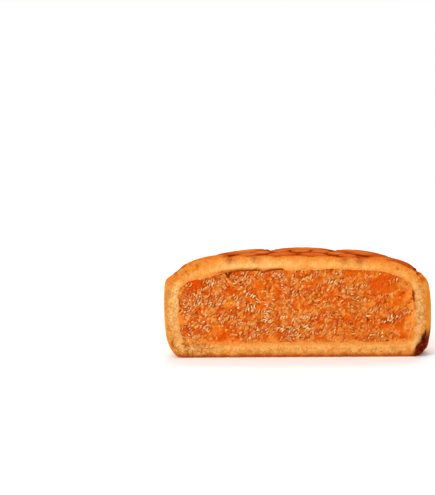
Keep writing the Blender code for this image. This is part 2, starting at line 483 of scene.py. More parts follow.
@dataclass(frozen=True)
class DoughFinish:
    """Baked dough: golden speckled skin, glazed where it is moulded, and pale crumb where it is cut."""

    skin_pale: Colour = (0.84, 0.38, 0.045)
    skin_golden: Colour = (0.76, 0.25, 0.014)
    skin_deep: Colour = (0.52, 0.125, 0.006)
    glaze_golden: Colour = (0.86, 0.250, 0.014)
    glaze_red: Colour = (0.66, 0.105, 0.004)
    # the colour of glaze pooled in the moulding's hollows, darkened further there as painted shade
    glaze_pooled_and_shaded: Colour = (0.19, 0.010, 0.000)
    toast: Colour = (0.42, 0.045, 0.003)
    caramel: Colour = (0.085, 0.004, 0.000)
    caramel_light: Colour = (0.27, 0.024, 0.002)
    crumb_cream: Colour = (0.96, 0.70, 0.310)
    crumb_light: Colour = (1.00, 0.72, 0.300)
    crumb_pale: Colour = (0.91, 0.49, 0.130)
    crumb_deep: Colour = (0.86, 0.345, 0.056)
    crumb_orange: Colour = (0.76, 0.185, 0.009)
    crumb_olive: Colour = (0.88, 0.335, 0.032)
    crumb_shade: Colour = (0.76, 0.200, 0.014)
    # painted shade inside the crumb's pits and cracks
    crumb_pit_shade: Colour = (0.47, 0.070, 0.000)
    crumb_foot: Colour = (0.48, 0.092, 0.014)
    moist: Colour = (0.82, 0.235, 0.032)
    # the size of the lumps of each pattern
    fleck: float = 0.5 * MM
    streak: float = 0.8 * MM
    skin_cloud: float = 6.0 * MM
    crumb_cloud: float = 1.5 * MM
    crumb_speck: float = 0.33 * MM
    crumb_grain: float = 0.40 * MM
    wrinkle: float = 0.9 * MM
    # the lumps of crumbling dough, how far and how finely their edges wander, and how patchily they show
    lump: float = 1.55 * MM
    wander: float = 1.5 * MM
    wander_size: float = 1.1 * MM
    lump_patch: float = 1.6 * MM
    relief: float = 0.2 * MM
    scatter: float = 0.9 * MM

    def make(self) -> bpy.types.Material:
        """Makes the material."""
        dough = Recipe("baked_dough")
        marks = ("cut", "glazed", "burnt", "sunk", "coarse")
        cut, glazed, burnt, sunk, coarse = (dough.mark(name) for name in marks)
        uncut, unburnt = 1 - cut, 1 - burnt
        fleck = dough.noise(self.fleck, 3.0, 0.65)
        wrinkles = self._wrinkles(dough)
        skin = self._skin(dough, fleck, glazed, sunk)
        colour = dough.mix(cut, skin, self._crumb(dough, fleck, coarse, wrinkles))
        streaks = dough.noise(self.streak, 3.0, 0.6)
        sugar = dough.mix(streaks.span(0.47, 0.64), self.caramel, self.caramel_light)
        crumb_height = (dough.noise(self.crumb_grain, 2.0, 0.6) - 0.5) * (coarse * 0.7 + 1.8)
        crumb_height = crumb_height - wrinkles * coarse * 0.5
        skin_height = (fleck - 0.5) * 0.32 * (1 - glazed * 0.6)
        matt = cut * 0.75 + ((1 - glazed) * 0.36 + 0.16) * uncut
        gloss = (glazed * 0.16 + 0.03) * uncut * unburnt * sunk.span(0.0, 0.6, 1.0, 0.0)
        return dough.finish(
            Base_Color=dough.mix(burnt, colour, sugar),
            Roughness=unburnt * matt + burnt * 0.4,
            Normal=dough.bumps(crumb_height * cut + skin_height * uncut, self.relief),
            Specular_IOR_Level=0.0,
            Coat_Weight=gloss + burnt * 0.04,
            Coat_Roughness=0.12,
            Subsurface_Weight=0.1,
            Subsurface_Radius=(1.0, 0.35, 0.12),
            Subsurface_Scale=self.scatter,
        )

    def _skin(self, dough: Recipe, fleck: Amount, glazed: Amount, sunk: Amount) -> Amount:
        """The colour of the baked and glazed outside."""
        cloud = dough.noise(self.skin_cloud, 3.0, 0.55)
        skin = dough.mix(cloud.span(0.36, 0.64), self.skin_golden, self.skin_pale)
        skin = dough.mix(fleck.span(0.50, 0.66) * 0.4, skin, self.skin_deep)
        skin = dough.mix(fleck.span(0.46, 0.34) * 0.6, skin, self.skin_pale)
        shine = dough.mix(cloud.span(0.42, 0.62), self.glaze_golden, self.glaze_red)
        skin = dough.mix(glazed, skin, shine)
        # browned crescents, foot, petals and rim, with painted shade along the flutes' grooves
        skin = dough.mix(dough.mark("toasted_and_groove_shade") * fleck.span(0.25, 0.6, 0.7, 1.0), skin, self.toast)
        # sunk: pooled glaze in the channel and between the petals, with painted shade there and in the lobes'
        # notches
        return dough.mix(sunk, skin, self.glaze_pooled_and_shaded)

    def _fissure_shade(self, dough: Recipe) -> Amount:
        """Painted shade in thin cracks between the lumps of crumbling dough: 1 in a crack."""
        bent = dough.noise(self.wander_size, 3.0, output="Color")
        moved = dough.node("ShaderNodeVectorMath", {"operation": "SCALE"}, {0: bent, "Scale": self.wander})
        place = dough.node("ShaderNodeVectorMath", {"operation": "ADD"}, {0: dough.place(), 1: moved})
        inputs = {"Vector": place, "Scale": 1 / self.lump}
        far = dough.node("ShaderNodeTexVoronoi", {"feature": "DISTANCE_TO_EDGE"}, inputs, "Distance")
        return far.span(0.05, 0.14, 1.0, 0.0) * dough.noise(self.lump_patch).span(0.42, 0.52)

    def _wrinkles(self, dough: Recipe) -> Amount:
        """Fine curly creases: 1 in a crease."""
        level = dough.noise(self.wrinkle) - 0.5
        return (level * level).span(0.0, 0.0012, 1.0, 0.0)

    def _crumb(self, dough: Recipe, fleck: Amount, coarse: Amount, wrinkles: Amount) -> Amount:
        """The colour of the dough where it is cut."""
        cloud = dough.noise(self.crumb_cloud, 4.0, 0.7)
        speck = dough.noise(self.crumb_speck, 2.0, 0.6)
        creamy, crumbly = dough.mark("creamy"), dough.mark("crumbly")
        crumb = dough.mix(cloud.span(0.36, 0.58), self.crumb_deep, self.crumb_pale)
        edge = dough.mix(coarse * (1 - crumbly * 0.8), self.crumb_orange, self.crumb_olive)
        for share, colour in (
            (creamy * cloud.span(0.36, 0.58, 0.35, 0.9), self.crumb_cream),
            (speck.span(0.47, 0.36) * (coarse * 0.65 + 0.3), self.crumb_light),
            (dough.mark("moist") * fleck.span(0.3, 0.6, 0.6, 1.0), self.moist),
            (dough.mark("browned") * fleck.span(0.38, 0.60, 0.70, 1.0), edge),
            (speck.span(0.52, 0.62) * (coarse * 0.25 + 0.40) * (1 - creamy * 0.4), self.crumb_shade),
            (wrinkles * coarse * 0.7, self.crumb_shade),
            # painted shade in the cracks between the lumps and in the pits
            (crumbly * self._fissure_shade(dough), self.crumb_pit_shade),
            (dough.mark("pitted"), self.crumb_pit_shade),
            (dough.mark("footed") * fleck.span(0.32, 0.60, 0.55, 1.0), self.crumb_foot),
            # the sole browned and given a painted contact shadow, and painted shade in the gaps by the filling
            (dough.mark("stained_and_shaded"), self.toast),
        ):
            crumb = dough.mix(share, crumb, colour)
        return crumb


@dataclass(frozen=True)
class FruitFinish:
    """Moist pineapple paste: deep orange and red-orange, with translucent light fibre."""

    name: str
    orange: Colour = (0.75, 0.126, 0.004)
    red: Colour = (0.69, 0.070, 0.002)
    yellow: Colour = (0.88, 0.27, 0.030)
    # pale fibre, which on the palest fibres also serves as painted glint
    pale: Colour = (1.00, 0.50, 0.12)
    shade: Colour = (0.27, 0.045, 0.003)
    soaked: Colour = (0.90, 0.29, 0.040)
    roughness: float = 0.30
    coat: float = 0.1
    # the size of the lumps of each pattern
    cloud: float = 1.3 * MM
    fleck: float = 0.45 * MM
    lump: float = 0.35 * MM
    relief: float = 0.10 * MM
    scatter: float = 1.2 * MM

    def make(self) -> bpy.types.Material:
        """Makes the material."""
        fruit = Recipe(self.name)
        tone = fruit.mark("tone")
        deep = fruit.mark("deep")
        ripe = fruit.mark("ripe") + (fruit.noise(self.cloud, 3.0, 0.6) - 0.5) * 2.2
        fleck = fruit.noise(self.fleck, 3.0, 0.6)
        colour = fruit.mix(ripe.span(0.05, 0.75), self.orange, self.yellow)
        colour = fruit.mix(ripe.span(-0.05, -0.75), colour, self.red)
        colour = fruit.mix(fleck.span(0.50, 0.66) * 0.6, colour, self.shade)
        colour = fruit.mix(fruit.mark("soaked"), colour, self.soaked)
        # tone: pale fibre, whose lightness also stands in for painted glints
        colour = fruit.mix(tone, colour, self.pale)
        # deep: painted shade in the paste's holes, furrows and gaps, and on the bits' undersides
        colour = fruit.mix(deep, colour, self.shade)
        relief = fruit.bumps(fruit.noise(self.lump, 2.0, 0.6), self.relief)
        return fruit.finish(
            Base_Color=colour,
            Roughness=fleck.span(0.3, 0.7, self.roughness - 0.1, self.roughness + 0.12),
            Normal=relief,
            Specular_IOR_Level=0.0,
            Coat_Weight=(tone + 0.05) * self.coat,
            Coat_Roughness=0.12,
            Subsurface_Weight=0.3,
            Subsurface_Radius=(1.0, 0.3, 0.06),
            Subsurface_Scale=self.scatter,
        )


@dataclass(frozen=True)
class PlainFinish:
    """An even, matt surface of the studio."""

    name: str
    colour: Colour
    roughness: float = 0.8
    cloud: float = 20.0 * MM
    paler: float = 1.03

    def make(self) -> bpy.types.Material:
        """Makes the material, with a faint grain."""
        plain = Recipe(self.name)
        pale = tuple(min(1.0, level * self.paler) for level in self.colour)
        colour = plain.mix(plain.noise(self.cloud), self.colour, pale)
        return plain.finish(Base_Color=colour, Roughness=self.roughness)


# ----------------------------------------------------------------------------------------------------------
# The form that crust and filling share
# ----------------------------------------------------------------------------------------------------------


@dataclass(frozen=True)
class PetalRing:
    """One ring of moulded petals on the medallion."""

    petals: int
    inner: float
    outer: float
    height: float
    lined: bool = False
    veined: bool = False

    def inside(self, radius: Array, angle: Array, squareness: float) -> tuple[Array, Array, Array]:
        """How far places are inside a petal's outline (below 0 outside), and where along and across it."""
        along = 2 * (radius - self.inner) / (self.outer - self.inner) - 1
        across = 2 * ((self.petals * angle / math.tau + 0.5) % 1.0) - 1
        return 1 - np.abs(along) ** squareness - np.abs(across) ** squareness, along, across


@dataclass(frozen=True)
class CakeForm:
    """The whole cake's form about its own axis, before the knife."""

    crown_height: float = 25.15 * MM
    medallion_radius: float = 30.2 * MM
    medallion_drop: float = 2.8 * MM
    medallion_rounding: float = 3.8
    medallion_shift: float = 0.5 * MM
    # (radius, height) in mm from the medallion's edge over the channel and the rim, and down the side
    shoulder_outline: Outline = (
        (30.2, 22.35), (30.45, 21.9), (30.75, 21.2), (31.1, 20.75), (31.45, 20.8), (31.75, 21.0),
        (32.05, 20.8), (32.3, 20.4), (32.6, 20.1), (33.1, 19.75), (33.55, 19.0), (33.9, 17.7),
    )
    side_outline: Outline = (
        (33.9, 17.7), (34.15, 15.0), (34.25, 12.0), (34.2, 8.5), (34.0, 5.5), (33.5, 3.4), (32.7, 1.7),
        (31.5, 0.5), (29.9, 0.0),
    )
    shoulder_heights: Span = (19.5 * MM, 21.5 * MM)
    # at the cut's left and right end the rim slopes straight down from one (radius, height) to another, over
    # these arcs
    slope: tuple[float, float, float, float] = (30.4 * MM, 22.0 * MM, 33.15 * MM, 19.7 * MM)
    slope_arcs: Span = (0.22, 0.132)
    lobes: int = 19
    flute_depth: float = 2.0 * MM
    flute_start: float = 29.5 * MM
    flute_full: float = 33.2 * MM
    groove_rounding: float = 0.04
    lobe_fullness: float = 0.45
    lobe_drift: float = 0.05
    lobe_turn: float = math.radians(1.8)
    rings: tuple[PetalRing, ...] = (
        PetalRing(6, 4.5 * MM, 10.9 * MM, 0.55 * MM, lined=True),
        PetalRing(16, 11.5 * MM, 16.4 * MM, 0.7 * MM),
        PetalRing(8, 16.9 * MM, 29.9 * MM, 0.9 * MM, lined=True, veined=True),
    )
    petal_squareness: float = 2.4
    petal_fullness: float = 0.55
    # (middle, reach) of a petal's edge and of the line in it, as shares of the way in from its outline
    petal_edge: Span = (0.32, 0.17)
    petal_line: Span = (0.45, 0.06)
    line_depth: float = 0.14 * MM
    # where the veins of the outer petals lie across the petal, from -1 to 1, how wide they are, and how long
    petal_veins: tuple[float, ...] = (-0.42, 0.0, 0.42)
    vein_width: float = 0.035
    vein_run: Span = (0.12, 0.42)
    # the flower's ground between the petals
    ground_depth: float = 0.2 * MM
    boss_radius: float = 4.0 * MM
    boss_height: float = 0.5 * MM
    unevenness: float = 0.22 * MM
    uneven_wave: float = 11.0 * MM
    # the height at which the unevenness has grown from nothing at the base to its full amount
    even_foot: float = 3.0 * MM
    lean: float = 0.03
    # how much fuller the lower corner is at the cut's right end, at which (height, reach), and over which arc
    corner_fullness: float = 0.5 * MM
    corner_place: Span = (1.6 * MM, 1.5 * MM)
    corner_arc: float = 0.25
    cut_place: float = -1.8 * MM
    # how far from the cut a point still counts as on it
    tolerance: float = 0.001 * MM
    # arcs of the plan with a smaller radius than this are drawn in towards the cut
    arc_blend: float = 10.0 * MM
    # the knife has smeared the flower's relief near the cut to an even height, which fades out at an edge
    knife_drag: float = 0.8
    drag_height: float = 0.85 * MM
    drag_reach: float = 2.2 * MM
    drag_edge: Span = (25.0 * MM, 29.0 * MM)
    # (radius, height) in mm of the filling, from the middle of its top to the edge of its bottom
    filling_outline: Outline = (
        (0.0, 22.6), (8.0, 22.6), (14.0, 22.5), (19.0, 22.2), (23.5, 21.4), (27.0, 20.1), (29.0, 18.5),
        (29.9, 16.3), (30.15, 12.5), (30.15, 8.2), (29.7, 5.6), (28.7, 4.2), (26.9, 3.7),
    )
    # how far the filling is uneven, and in waves of what width
    filling_wobble: float = 0.3 * MM
    paste_wave: float = 6.875 * MM
    filling_middle: float = 13.2 * MM
    fold_place: Span = (-21.8 * MM, 20.4 * MM)
    fold_reach: float = 3.4 * MM
    fold_depth: float = 0.9 * MM
    # (line, width, reach) in mm of the gaps on the cut between the dough and the filling
    cracks: tuple[tuple[Outline, float, float], ...] = (
        (((-20.6, 22.7), (-16.0, 23.1), (-8.0, 23.1), (-3.0, 22.8)), 0.5, 1.5),
        (((26.5, 20.6), (28.6, 19.2), (29.6, 17.6), (30.0, 16.4)), 0.22, 0.8),
        (((30.0, 16.6), (29.3, 15.6), (29.9, 14.8), (30.3, 13.6), (30.5, 12.2)), 0.42, 0.9),
    )
    # in waves of what width the gaps are uneven
    crack_wave: float = 2.2 * MM
    # a small branch of the upper gap, which runs down into the filling
    branch: Outline = ((-17.7, 22.9), (-16.6, 20.9), (-15.8, 22.9))

    def gap(self, x: Array, z: Array) -> Array:
        """How far the dough has come away from the filling at places on the cut."""
        widths = np.zeros(len(x))
        uneven = 0.75 + 0.5 * grain(on_plane(x, z), self.crack_wave, 41.0)
        for line, width, reach in self.cracks:
            near = eased(line_distance(x, z, line), reach * MM, 0.3 * reach * MM)
            widths = np.maximum(widths, width * MM * uneven * near)
        return widths

    def at_cut(self, y: Array) -> Array:
        """Which places lie on the cut."""
        return np.abs(y - self.cut_place) < self.tolerance

    def groove_share(self, angle: Array) -> Array:
        """How deep the flutes are at an angle: 0 on a lobe's crest and 1 in a groove."""
        drifted = angle + self.lobe_turn + self.lobe_drift * np.sin(2 * angle)
        swell = np.sin(self.lobes * drifted / 2) ** 2
        return 1 - (swell + self.groove_rounding * (1 - swell)) ** self.lobe_fullness

    def dome(self, radius: Array) -> Array:
        """The plain medallion's height."""
        share = radius / self.medallion_radius
        return self.crown_height - self.medallion_drop * share**self.medallion_rounding

    def flower(self, radius: Array, angle: Array) -> tuple[Array, Array, Array]:
        """The moulded flower on the medallion.

        Args:
            radius: The places' distance from the axis.
            angle: The places' angle round the axis.

        Returns:
            How far each place stands up, how dark pooled glaze and painted shade make it between the petals,
            and how close to a petal's edge.
        """
        inmost = 1 - (radius / self.boss_radius) ** 3
        height = self.boss_height * clamped(inmost) ** 0.5
        veins, edge = np.zeros(len(radius)), np.zeros(len(radius))
        for ring in self.rings:
            inside, along, across = ring.inside(radius, angle, self.petal_squareness)
            height = np.maximum(height, ring.height * clamped(inside) ** self.petal_fullness)
            inmost = np.maximum(inmost, inside)
            edge = np.maximum(edge, bump(inside, *self.petal_edge))
            if ring.lined:
                veins = np.maximum(veins, bump(inside, *self.petal_line))
            if ring.veined:
                for place in self.petal_veins:
                    vein = bump(across * (1.15 - 0.35 * along), place, self.vein_width)
                    veins = np.maximum(veins, vein * bump(along, *self.vein_run) * eased(inside, 0.5, 0.6))
        # the ground and the lines between the petals are darkened: pooled glaze, and painted shade
        dark = eased(inmost, 0.34, 0.04) * (1 - 0.6 * eased(-inmost, 0.04, 0.45))
        height -= self.ground_depth * eased(inmost, 0.35, 0.0) + self.line_depth * veins
        return height, np.maximum(dark, 0.6 * veins), edge

    def baked(self, points: Array) -> Array:
        """Points of the turned crust as baked: fluted, with the flower on top, and a little uneven.

        Args:
            points: One row for each point of the plain turned form, about the cake's own axis.

        Returns:
            The points' places in the baked form.
        """
        radius, angle = polar(points)
        height = points[:, 2].copy()
        low, high = self.shoulder_heights
        fluted = clamped((radius - self.flute_start) / (self.flute_full - self.flute_start))
        reach = radius - self.flute_depth * fluted * self.groove_share(angle)
        on_top = height > high
        dragged = self.knife_drag * (1 - eased(points[:, 1] - self.cut_place, 0.0, self.drag_reach))
        filled = self.drag_height * (1 - eased(radius, *self.drag_edge))
        height += np.where(on_top, self.flower(radius, angle)[0] * (1 - dragged) + filled * dragged, 0.0)
        inner, top, outer, foot = self.slope
        left_arc, right_arc = self.slope_arcs
        near = np.maximum(bump(np.abs(angle), math.pi, left_arc), bump(angle, 0.0, right_arc))
        sloped = top + (foot - top) * (radius - inner) / (outer - inner)
        on_slope = ~on_top & (height > low) & (radius > inner) & (radius < outer)
        height += np.where(on_slope, (sloped - height) * near, 0.0)
        fuller = self.corner_fullness * bump(points[:, 2], *self.corner_place)
        reach += fuller * bump(angle, 0.0, self.corner_arc)
        uneven = self.unevenness * clamped(points[:, 2] / self.even_foot)
        shift = np.array([5.0, 2.0, 9.0]) * self.uneven_wave
        reach += uneven * grain(points, self.uneven_wave)
        height += uneven * grain(points + shift, self.uneven_wave)
        height -= self.lean * points[:, 0] * points[:, 2] / self.crown_height
        aside = self.medallion_shift * clamped((points[:, 2] - low) / (high - low))
        return np.column_stack([reach * np.cos(angle) + aside, reach * np.sin(angle), height])

    def pressed(self, points: Array) -> Array:
        """Points of the turned filling as it lies in the dough, uneven and pressed down under the fold."""
        radius, angle = polar(points)
        shift = np.array([3.0, 7.0, 1.0]) * self.paste_wave
        uneven = self.filling_wobble * grain(points + shift, self.paste_wave)
        near = bump(np.hypot(points[:, 0] - self.fold_place[0], points[:, 1]), 0.0, self.fold_reach)
        middle, fold_height = self.filling_middle, self.fold_place[1]
        upper = clamped((points[:, 2] - middle) / (fold_height - middle))
        reach = radius + uneven
        height = points[:, 2] + (uneven - self.fold_depth * near) * upper
        return np.column_stack([reach * np.cos(angle), reach * np.sin(angle), height])

    def plan(self, radius: Array, angle: Array) -> tuple[Array, Array]:
        """Where an arc of the half's plan lies: a part circle from one end of the cut round to the other.

        The arcs close to the middle are drawn in towards the cut, so that all of them end on it.

        Args:
            radius: Each point's radius.
            angle: Each point's angle, from 0 at the cut's right end to pi at its left end.

        Returns:
            The points' X and Y about the cake's axis.
        """
        middle = self.cut_place * (1 - eased(radius, 0.0, self.arc_blend))
        tilt = np.arcsin(clamped((middle - self.cut_place) / np.maximum(radius, HAIR)))
        turn = -tilt + (math.pi + 2 * tilt) * angle / math.pi
        return radius * np.cos(turn), middle + radius * np.sin(turn)


# ----------------------------------------------------------------------------------------------------------
# The crust
# ----------------------------------------------------------------------------------------------------------


@dataclass
class Crust:
    """The baked crust: skin with flutes, rim and flower, and the crumb round the filling at the cut."""

    form: CakeForm
    seat: Seat
    # how finely the skin, the hollow and the cut between them are divided
    steps: int = 220
    hollow_steps: int = 12
    top_rows: int = 108
    shoulder_rows: int = 22
    side_rows: int = 84
    base_rows: int = 128
    ring_cuts: int = 16
    overlap: float = 0.12 * MM
    # the skin: its mean radius, (size, height, seed) of its lumps, where its side starts, and its wrinkles
    mean_radius: float = 34.0 * MM
    skin_lumps: tuple[tuple[float, float, float], ...] = (
        (2.6 * MM, 0.05 * MM, 3.0), (0.9 * MM, 0.02 * MM, 6.0),
    )
    side_start: Span = (31.5 * MM, 33.0 * MM)
    streak_width: float = 0.9 * MM
    streak_depth: float = 0.22 * MM
    streak_patch: float = 7.0 * MM
    # the crumb at the cut
    relief_reach: float = 0.5 * MM
    edge_softness: float = 0.22 * MM
    lump_size: float = 1.7 * MM
    crumb_lumps: float = 0.11 * MM
    grit_size: float = 0.6 * MM
    crumb_grit: float = 0.10 * MM
    pit_size: float = 0.75 * MM
    pit_depth: float = 0.4 * MM
    pit_patch: float = 1.9 * MM
    # the crumb's edge at the filling
    rim_lap: float = 0.12 * MM
    rim_ragged: float = 0.3 * MM
    rim_wave: float = 1.3 * MM
    # ((x, height), width) in mm of single holes in the crumb
    single_holes: tuple[tuple[Span, float], ...] = (((-27.4, 22.5), 0.55), ((26.1, 22.2), 0.6))
    # (x, spread) in mm of the brown stains on the cut's upper edge
    stains: tuple[Span, ...] = ((-15.9, 1.3), (-9.5, 1.0), (13.2, 1.1), (16.9, 1.4))
    # where on the cut the crumb is coarse, and where its pits show fully
    coarse_zones: tuple[Zone, ...] = (
        Zone(0.7, x=(-18, -26), z=(6, 3)),
        Zone(0.75, x=(-29, -31.5), z=(23, 18)),
        Zone(0.65, x=(29.3, 31.3)),
        Zone(0.35, z=(3.4, 1.2)),
        Zone(0.4, x=(-22, -27), z=(20, 22)),
    )
    pitted_zones: tuple[Zone, ...] = (Zone(z=(7, 4)), Zone(0.5, x=(20, 26)))
    # where the crumb is creamy, and where it is crumbly
    creamy_zones: tuple[Zone, ...] = (
        Zone(0.4, x=(-27, -31), z=(4, 8)), Zone(0.7, x=(29, 31.5)), Zone(0.3, x=(-17, -24), z=(5.5, 3.5)),
    )
    crumbly_zones: tuple[Zone, ...] = (
        Zone(0.7, x=(-17, -24), z=(5.5, 3.5)), Zone(0.25, x=(-27, -31)), Zone(0.35, x=(29.5, 31)),
        Zone(0.35, z=(3, 2)),
    )
    # the width in mm of the browned band along the skin, and how much wider it is, and where
    band: float = 1.25
    wide_zones: tuple[Zone, ...] = (
        Zone(0.1, x=(-27, -31)), Zone(1.3, x=(-12, -24), z=(16, 21)), Zone(0.9, x=(18, 27), z=(16, 21)),
    )
    # (middle, reach) of the channel dark with pooled glaze, the notches between the lobes darkened as painted
    # shade, the thin glaze and the toast
    channel: Span = (31.05 * MM, 0.42 * MM)
    notch: Span = (19.2 * MM, 0.8 * MM)
    thin_ring: Span = (31.8 * MM, 0.35 * MM)
    toast_ring: Span = (15.6 * MM, 2.6 * MM)
    # the (x, height) of the burnt sugar at the cut's right end, and how it fades round that and to the back
    burnt_place: Span = (33.5 * MM, 1.0 * MM)
    burnt_fade: Span = (3.8 * MM, 1.6 * MM)
    burnt_depth: Span = (6.0 * MM, 1.0 * MM)
    piece: bpy.types.Object = field(init=False)

    def skin_rows(self) -> Array:
        """The crust's outline from the crown to the middle of its base."""
        top = np.linspace(0.0, self.form.medallion_radius, self.top_rows)
        crown = np.column_stack([top, self.form.dome(top)])
        shoulder = drawn_through(self.form.shoulder_outline, self.shoulder_rows + 1)[1:]
        side = drawn_through(self.form.side_outline, self.side_rows + 1)[1:]
        base = np.linspace(side[-1][0], 0.0, self.base_rows + 1)[1:]
        return np.vstack([crown, shoulder, side, np.column_stack([base, np.zeros(len(base))])])

    def hollow_rows(self) -> Array:
        """The hollow's outline, with as many points as the crust's, so that the cut joins them one to one."""
        outline = self.form.filling_outline
        top = drawn_through(outline[:6], self.top_rows)
        side = drawn_through(outline[5:], self.shoulder_rows + self.side_rows + 1)[1:]
        base = np.linspace(side[-1][0], 0.0, self.base_rows + 1)[1:]
        rows = np.vstack([top, side, np.column_stack([base, np.full(len(base), side[-1][1])])])
        middle = np.array([0.0, self.form.filling_middle])
        reach = np.hypot(*(rows - middle).T)[:, None]
        return rows - (rows - middle) / reach * self.overlap * (rows[:, :1] > 0.01 * MM)

    def build(self) -> None:
        """Spins the skin and the hollow, joins them at the cut, and bakes the form into them."""
        form = self.form
        rows, hollow_rows = self.skin_rows(), self.hollow_rows()
        skin, row, angle = Bench.half_turn("crust_baked", rows, self.steps)
        x, y = form.plan(rows[row, 0], angle)
        height = np.where(row < self.top_rows, form.dome(np.hypot(x, y)), rows[row, 1])
        plain = np.column_stack([x, y, height])

        hollow, hollow_row, hollow_angle = Bench.half_turn("hollow", hollow_rows, self.hollow_steps)
        hx, hy = form.plan(hollow_rows[hollow_row, 0], hollow_angle)
        pressed = form.pressed(np.column_stack([hx, hy, hollow_rows[hollow_row, 1]]))
        pressed[form.at_cut(hy), 1] = form.cut_place
        Bench.put(hollow, pressed)

        counts = len(skin.data.vertices), len(hollow.data.vertices)
        baked = self.detailed(plain, row)
        on_cut = form.at_cut(y)
        baked[on_cut, 1] = form.cut_place
        Bench.put(skin, baked)
        share = self.draw_cut(skin, plain, row, on_cut, pressed, hollow_row)
        Bench.take(skin, hollow)
        bpy.ops.object.join()
        self.piece = skin
        self.shape_cut(counts, plain, row, on_cut, share)

    def draw_cut(
        self,
        skin: bpy.types.Object,
        plain: Array,
        row: Array,
        on_cut: Array,
        hollow: Array,
        hollow_row: Array,
    ) -> Array:
        """Draws the skin's edge at the cut inwards, step by step, until it meets the hollow's edge.

        Args:
            skin: The baked skin, open at the cut.
            plain: The skin's vertices before baking.
            row: The row of the outline that each of the skin's vertices comes from.
            on_cut: Which of the skin's vertices lie on the cut.
            hollow: The places of the hollow's vertices.
            hollow_row: The row of the hollow's outline that each of those comes from.

        Returns:
            How far each new vertex is from the skin towards the hollow, from 0 to 1.
        """
        count = len(row)
        with Bench.editing(skin, "EDGE"):
            Bench.select_boundary(skin)
            for _ in range(self.ring_cuts + 1):
                bpy.ops.mesh.extrude_region_move(TRANSFORM_OT_translate={"value": (0.0, -1.0, 0.0)})
        points = Bench.points(skin)
        sources, added = np.nonzero(on_cut)[0], points[count:]
        edge = points[sources]
        source = sources[nearest(on_plane(edge[:, 0], edge[:, 2]), on_plane(added[:, 0], added[:, 2]))[0]]
        share = np.round(self.form.cut_place - added[:, 1]) / (self.ring_cuts + 1)
        meets = {}
        for number in np.nonzero(self.form.at_cut(hollow[:, 1]))[0]:
            meets[int(hollow_row[number]), bool(hollow[number, 0] > HAIR)] = hollow[number]
        ends = np.array([meets[int(row[number]), bool(plain[number, 0] > HAIR)] for number in source])
        points[count:] = points[source] * (1 - share[:, None]) + ends * share[:, None]
        Bench.put(skin, points)
        return share

    def detailed(self, plain: Array, row: Array) -> Array:
        """The baked skin with its fine relief: wrinkles low on the lobes, and small lumps all over."""
        baked = self.form.baked(plain)
        radius, angle = polar(plain)
        outward = np.column_stack([np.cos(angle), np.sin(angle), np.zeros(len(angle))])
        lumps = sum(height * grain(plain, size, seed) for size, height, seed in self.skin_lumps)
        off_base = eased(plain[:, 2], 0.05 * MM, 1.5 * MM)
        depth = (lumps * off_base - self.streak_depth * self.streaks(plain)) * eased(radius, *self.side_start)
        baked += outward * depth[:, None]
        baked[:, 2] += np.where(row < self.top_rows, lumps * 0.8, 0.0)
        return baked

    def around(self, plain: Array, height: Any) -> Array:
        """Places unrolled from round the cake: how far round they lie, and a height."""
        angle = polar(plain)[1]
        level = np.zeros(len(angle))
        return np.column_stack([angle * self.mean_radius, level + height, level])

    def streaks(self, plain: Array) -> Array:
        """How deep the upright wrinkles low on the lobes are, from 0 to 1."""
        low_down = eased(plain[:, 2], 12 * MM, 4 * MM) * eased(plain[:, 2], 0.3 * MM, 2.0 * MM)
        around = self.around(plain, plain[:, 2] * 0.12)
        patches = clamped(grain(around, self.streak_patch, 11.0) * 3)
        return clamped(-grain(around, self.streak_width, 4.0)) * patches * low_down

    def shape_cut(
        self, counts: tuple[int, int], plain: Array, row: Array, on_cut: Array, share: Array
    ) -> None:
        """Gives the cut its crumb, its pits and its soft edges, and stores what the finish reads.

        Args:
            counts: How many vertices the skin and the hollow have: the piece's first and last ones.
            plain: The skin's vertices before baking.
            row: The row of the outline that each of them comes from.
            on_cut: Which of them lie on the cut.
            share: How far each vertex between the skin and the hollow is towards the hollow.
        """
        points = Bench.points(self.piece)
        skin_count, hollow_count = counts
        total = len(points)
        hollow_edge = self.form.at_cut(points[:, 1])
        hollow_edge[: total - hollow_count] = False
        inward = np.concatenate([np.zeros(skin_count), share, np.zeros(hollow_count)])
        inward[hollow_edge] = 1.0
        cut = inward > 0
        margin = np.zeros(total)
        margin[cut] = nearest(points[:skin_count][on_cut], points[cut])[1]

        near_cut = np.exp(-((points[:, 1] - self.form.cut_place) / self.relief_reach))
        near_cut[hollow_edge] = 1.0
        moved = (near_cut > 0.01) & ((np.arange(total) < total - hollow_count) | hollow_edge)
        x, z = points[:, 0].copy(), points[:, 2].copy()
        coarse, pitted = Zone.most(self.coarse_zones, x, z), np.zeros(total)
        depth, pitted[moved] = self.crumb(x[moved], z[moved], coarse[moved], margin[moved])
        points[moved, 1] += depth * near_cut[moved]
        away = points[:, (0, 2)] - np.array([0.0, self.form.filling_middle])
        away /= np.maximum(np.hypot(*away.T), HAIR)[:, None]
        ragged, at_rim = np.zeros(total), inward > 0.5
        ragged[at_rim] = self.rim_ragged * grain(on_plane(x, z)[at_rim], self.rim_wave, 3.0)
        opened = (self.form.gap(x, z) - self.rim_lap + ragged) * eased(inward, 0.6, 1.0)
        points[:, (0, 2)] += away * opened[:, None]
        beyond = np.zeros(total - skin_count)
        marks = self.skin_marks(plain, row)
        marks = {name: np.concatenate([values, beyond]) for name, values in marks.items()}
        marks |= self.cut_marks(x, z, margin, inward)
        # pitted: where the finish paints shade into the pits
        marks |= {"cut": cut.astype(float), "coarse": coarse, "pitted": pitted * 0.5}
        marks["burnt"] = np.maximum(marks["burnt"], cut * marks.pop("burnt_corner"))
        for name, values in marks.items():
            Bench.mark(self.piece, name, clamped(values))
        self.seat.put(self.piece, points)
        Bench.face_outwards(self.piece)
        Bench.smooth(self.piece, 50)

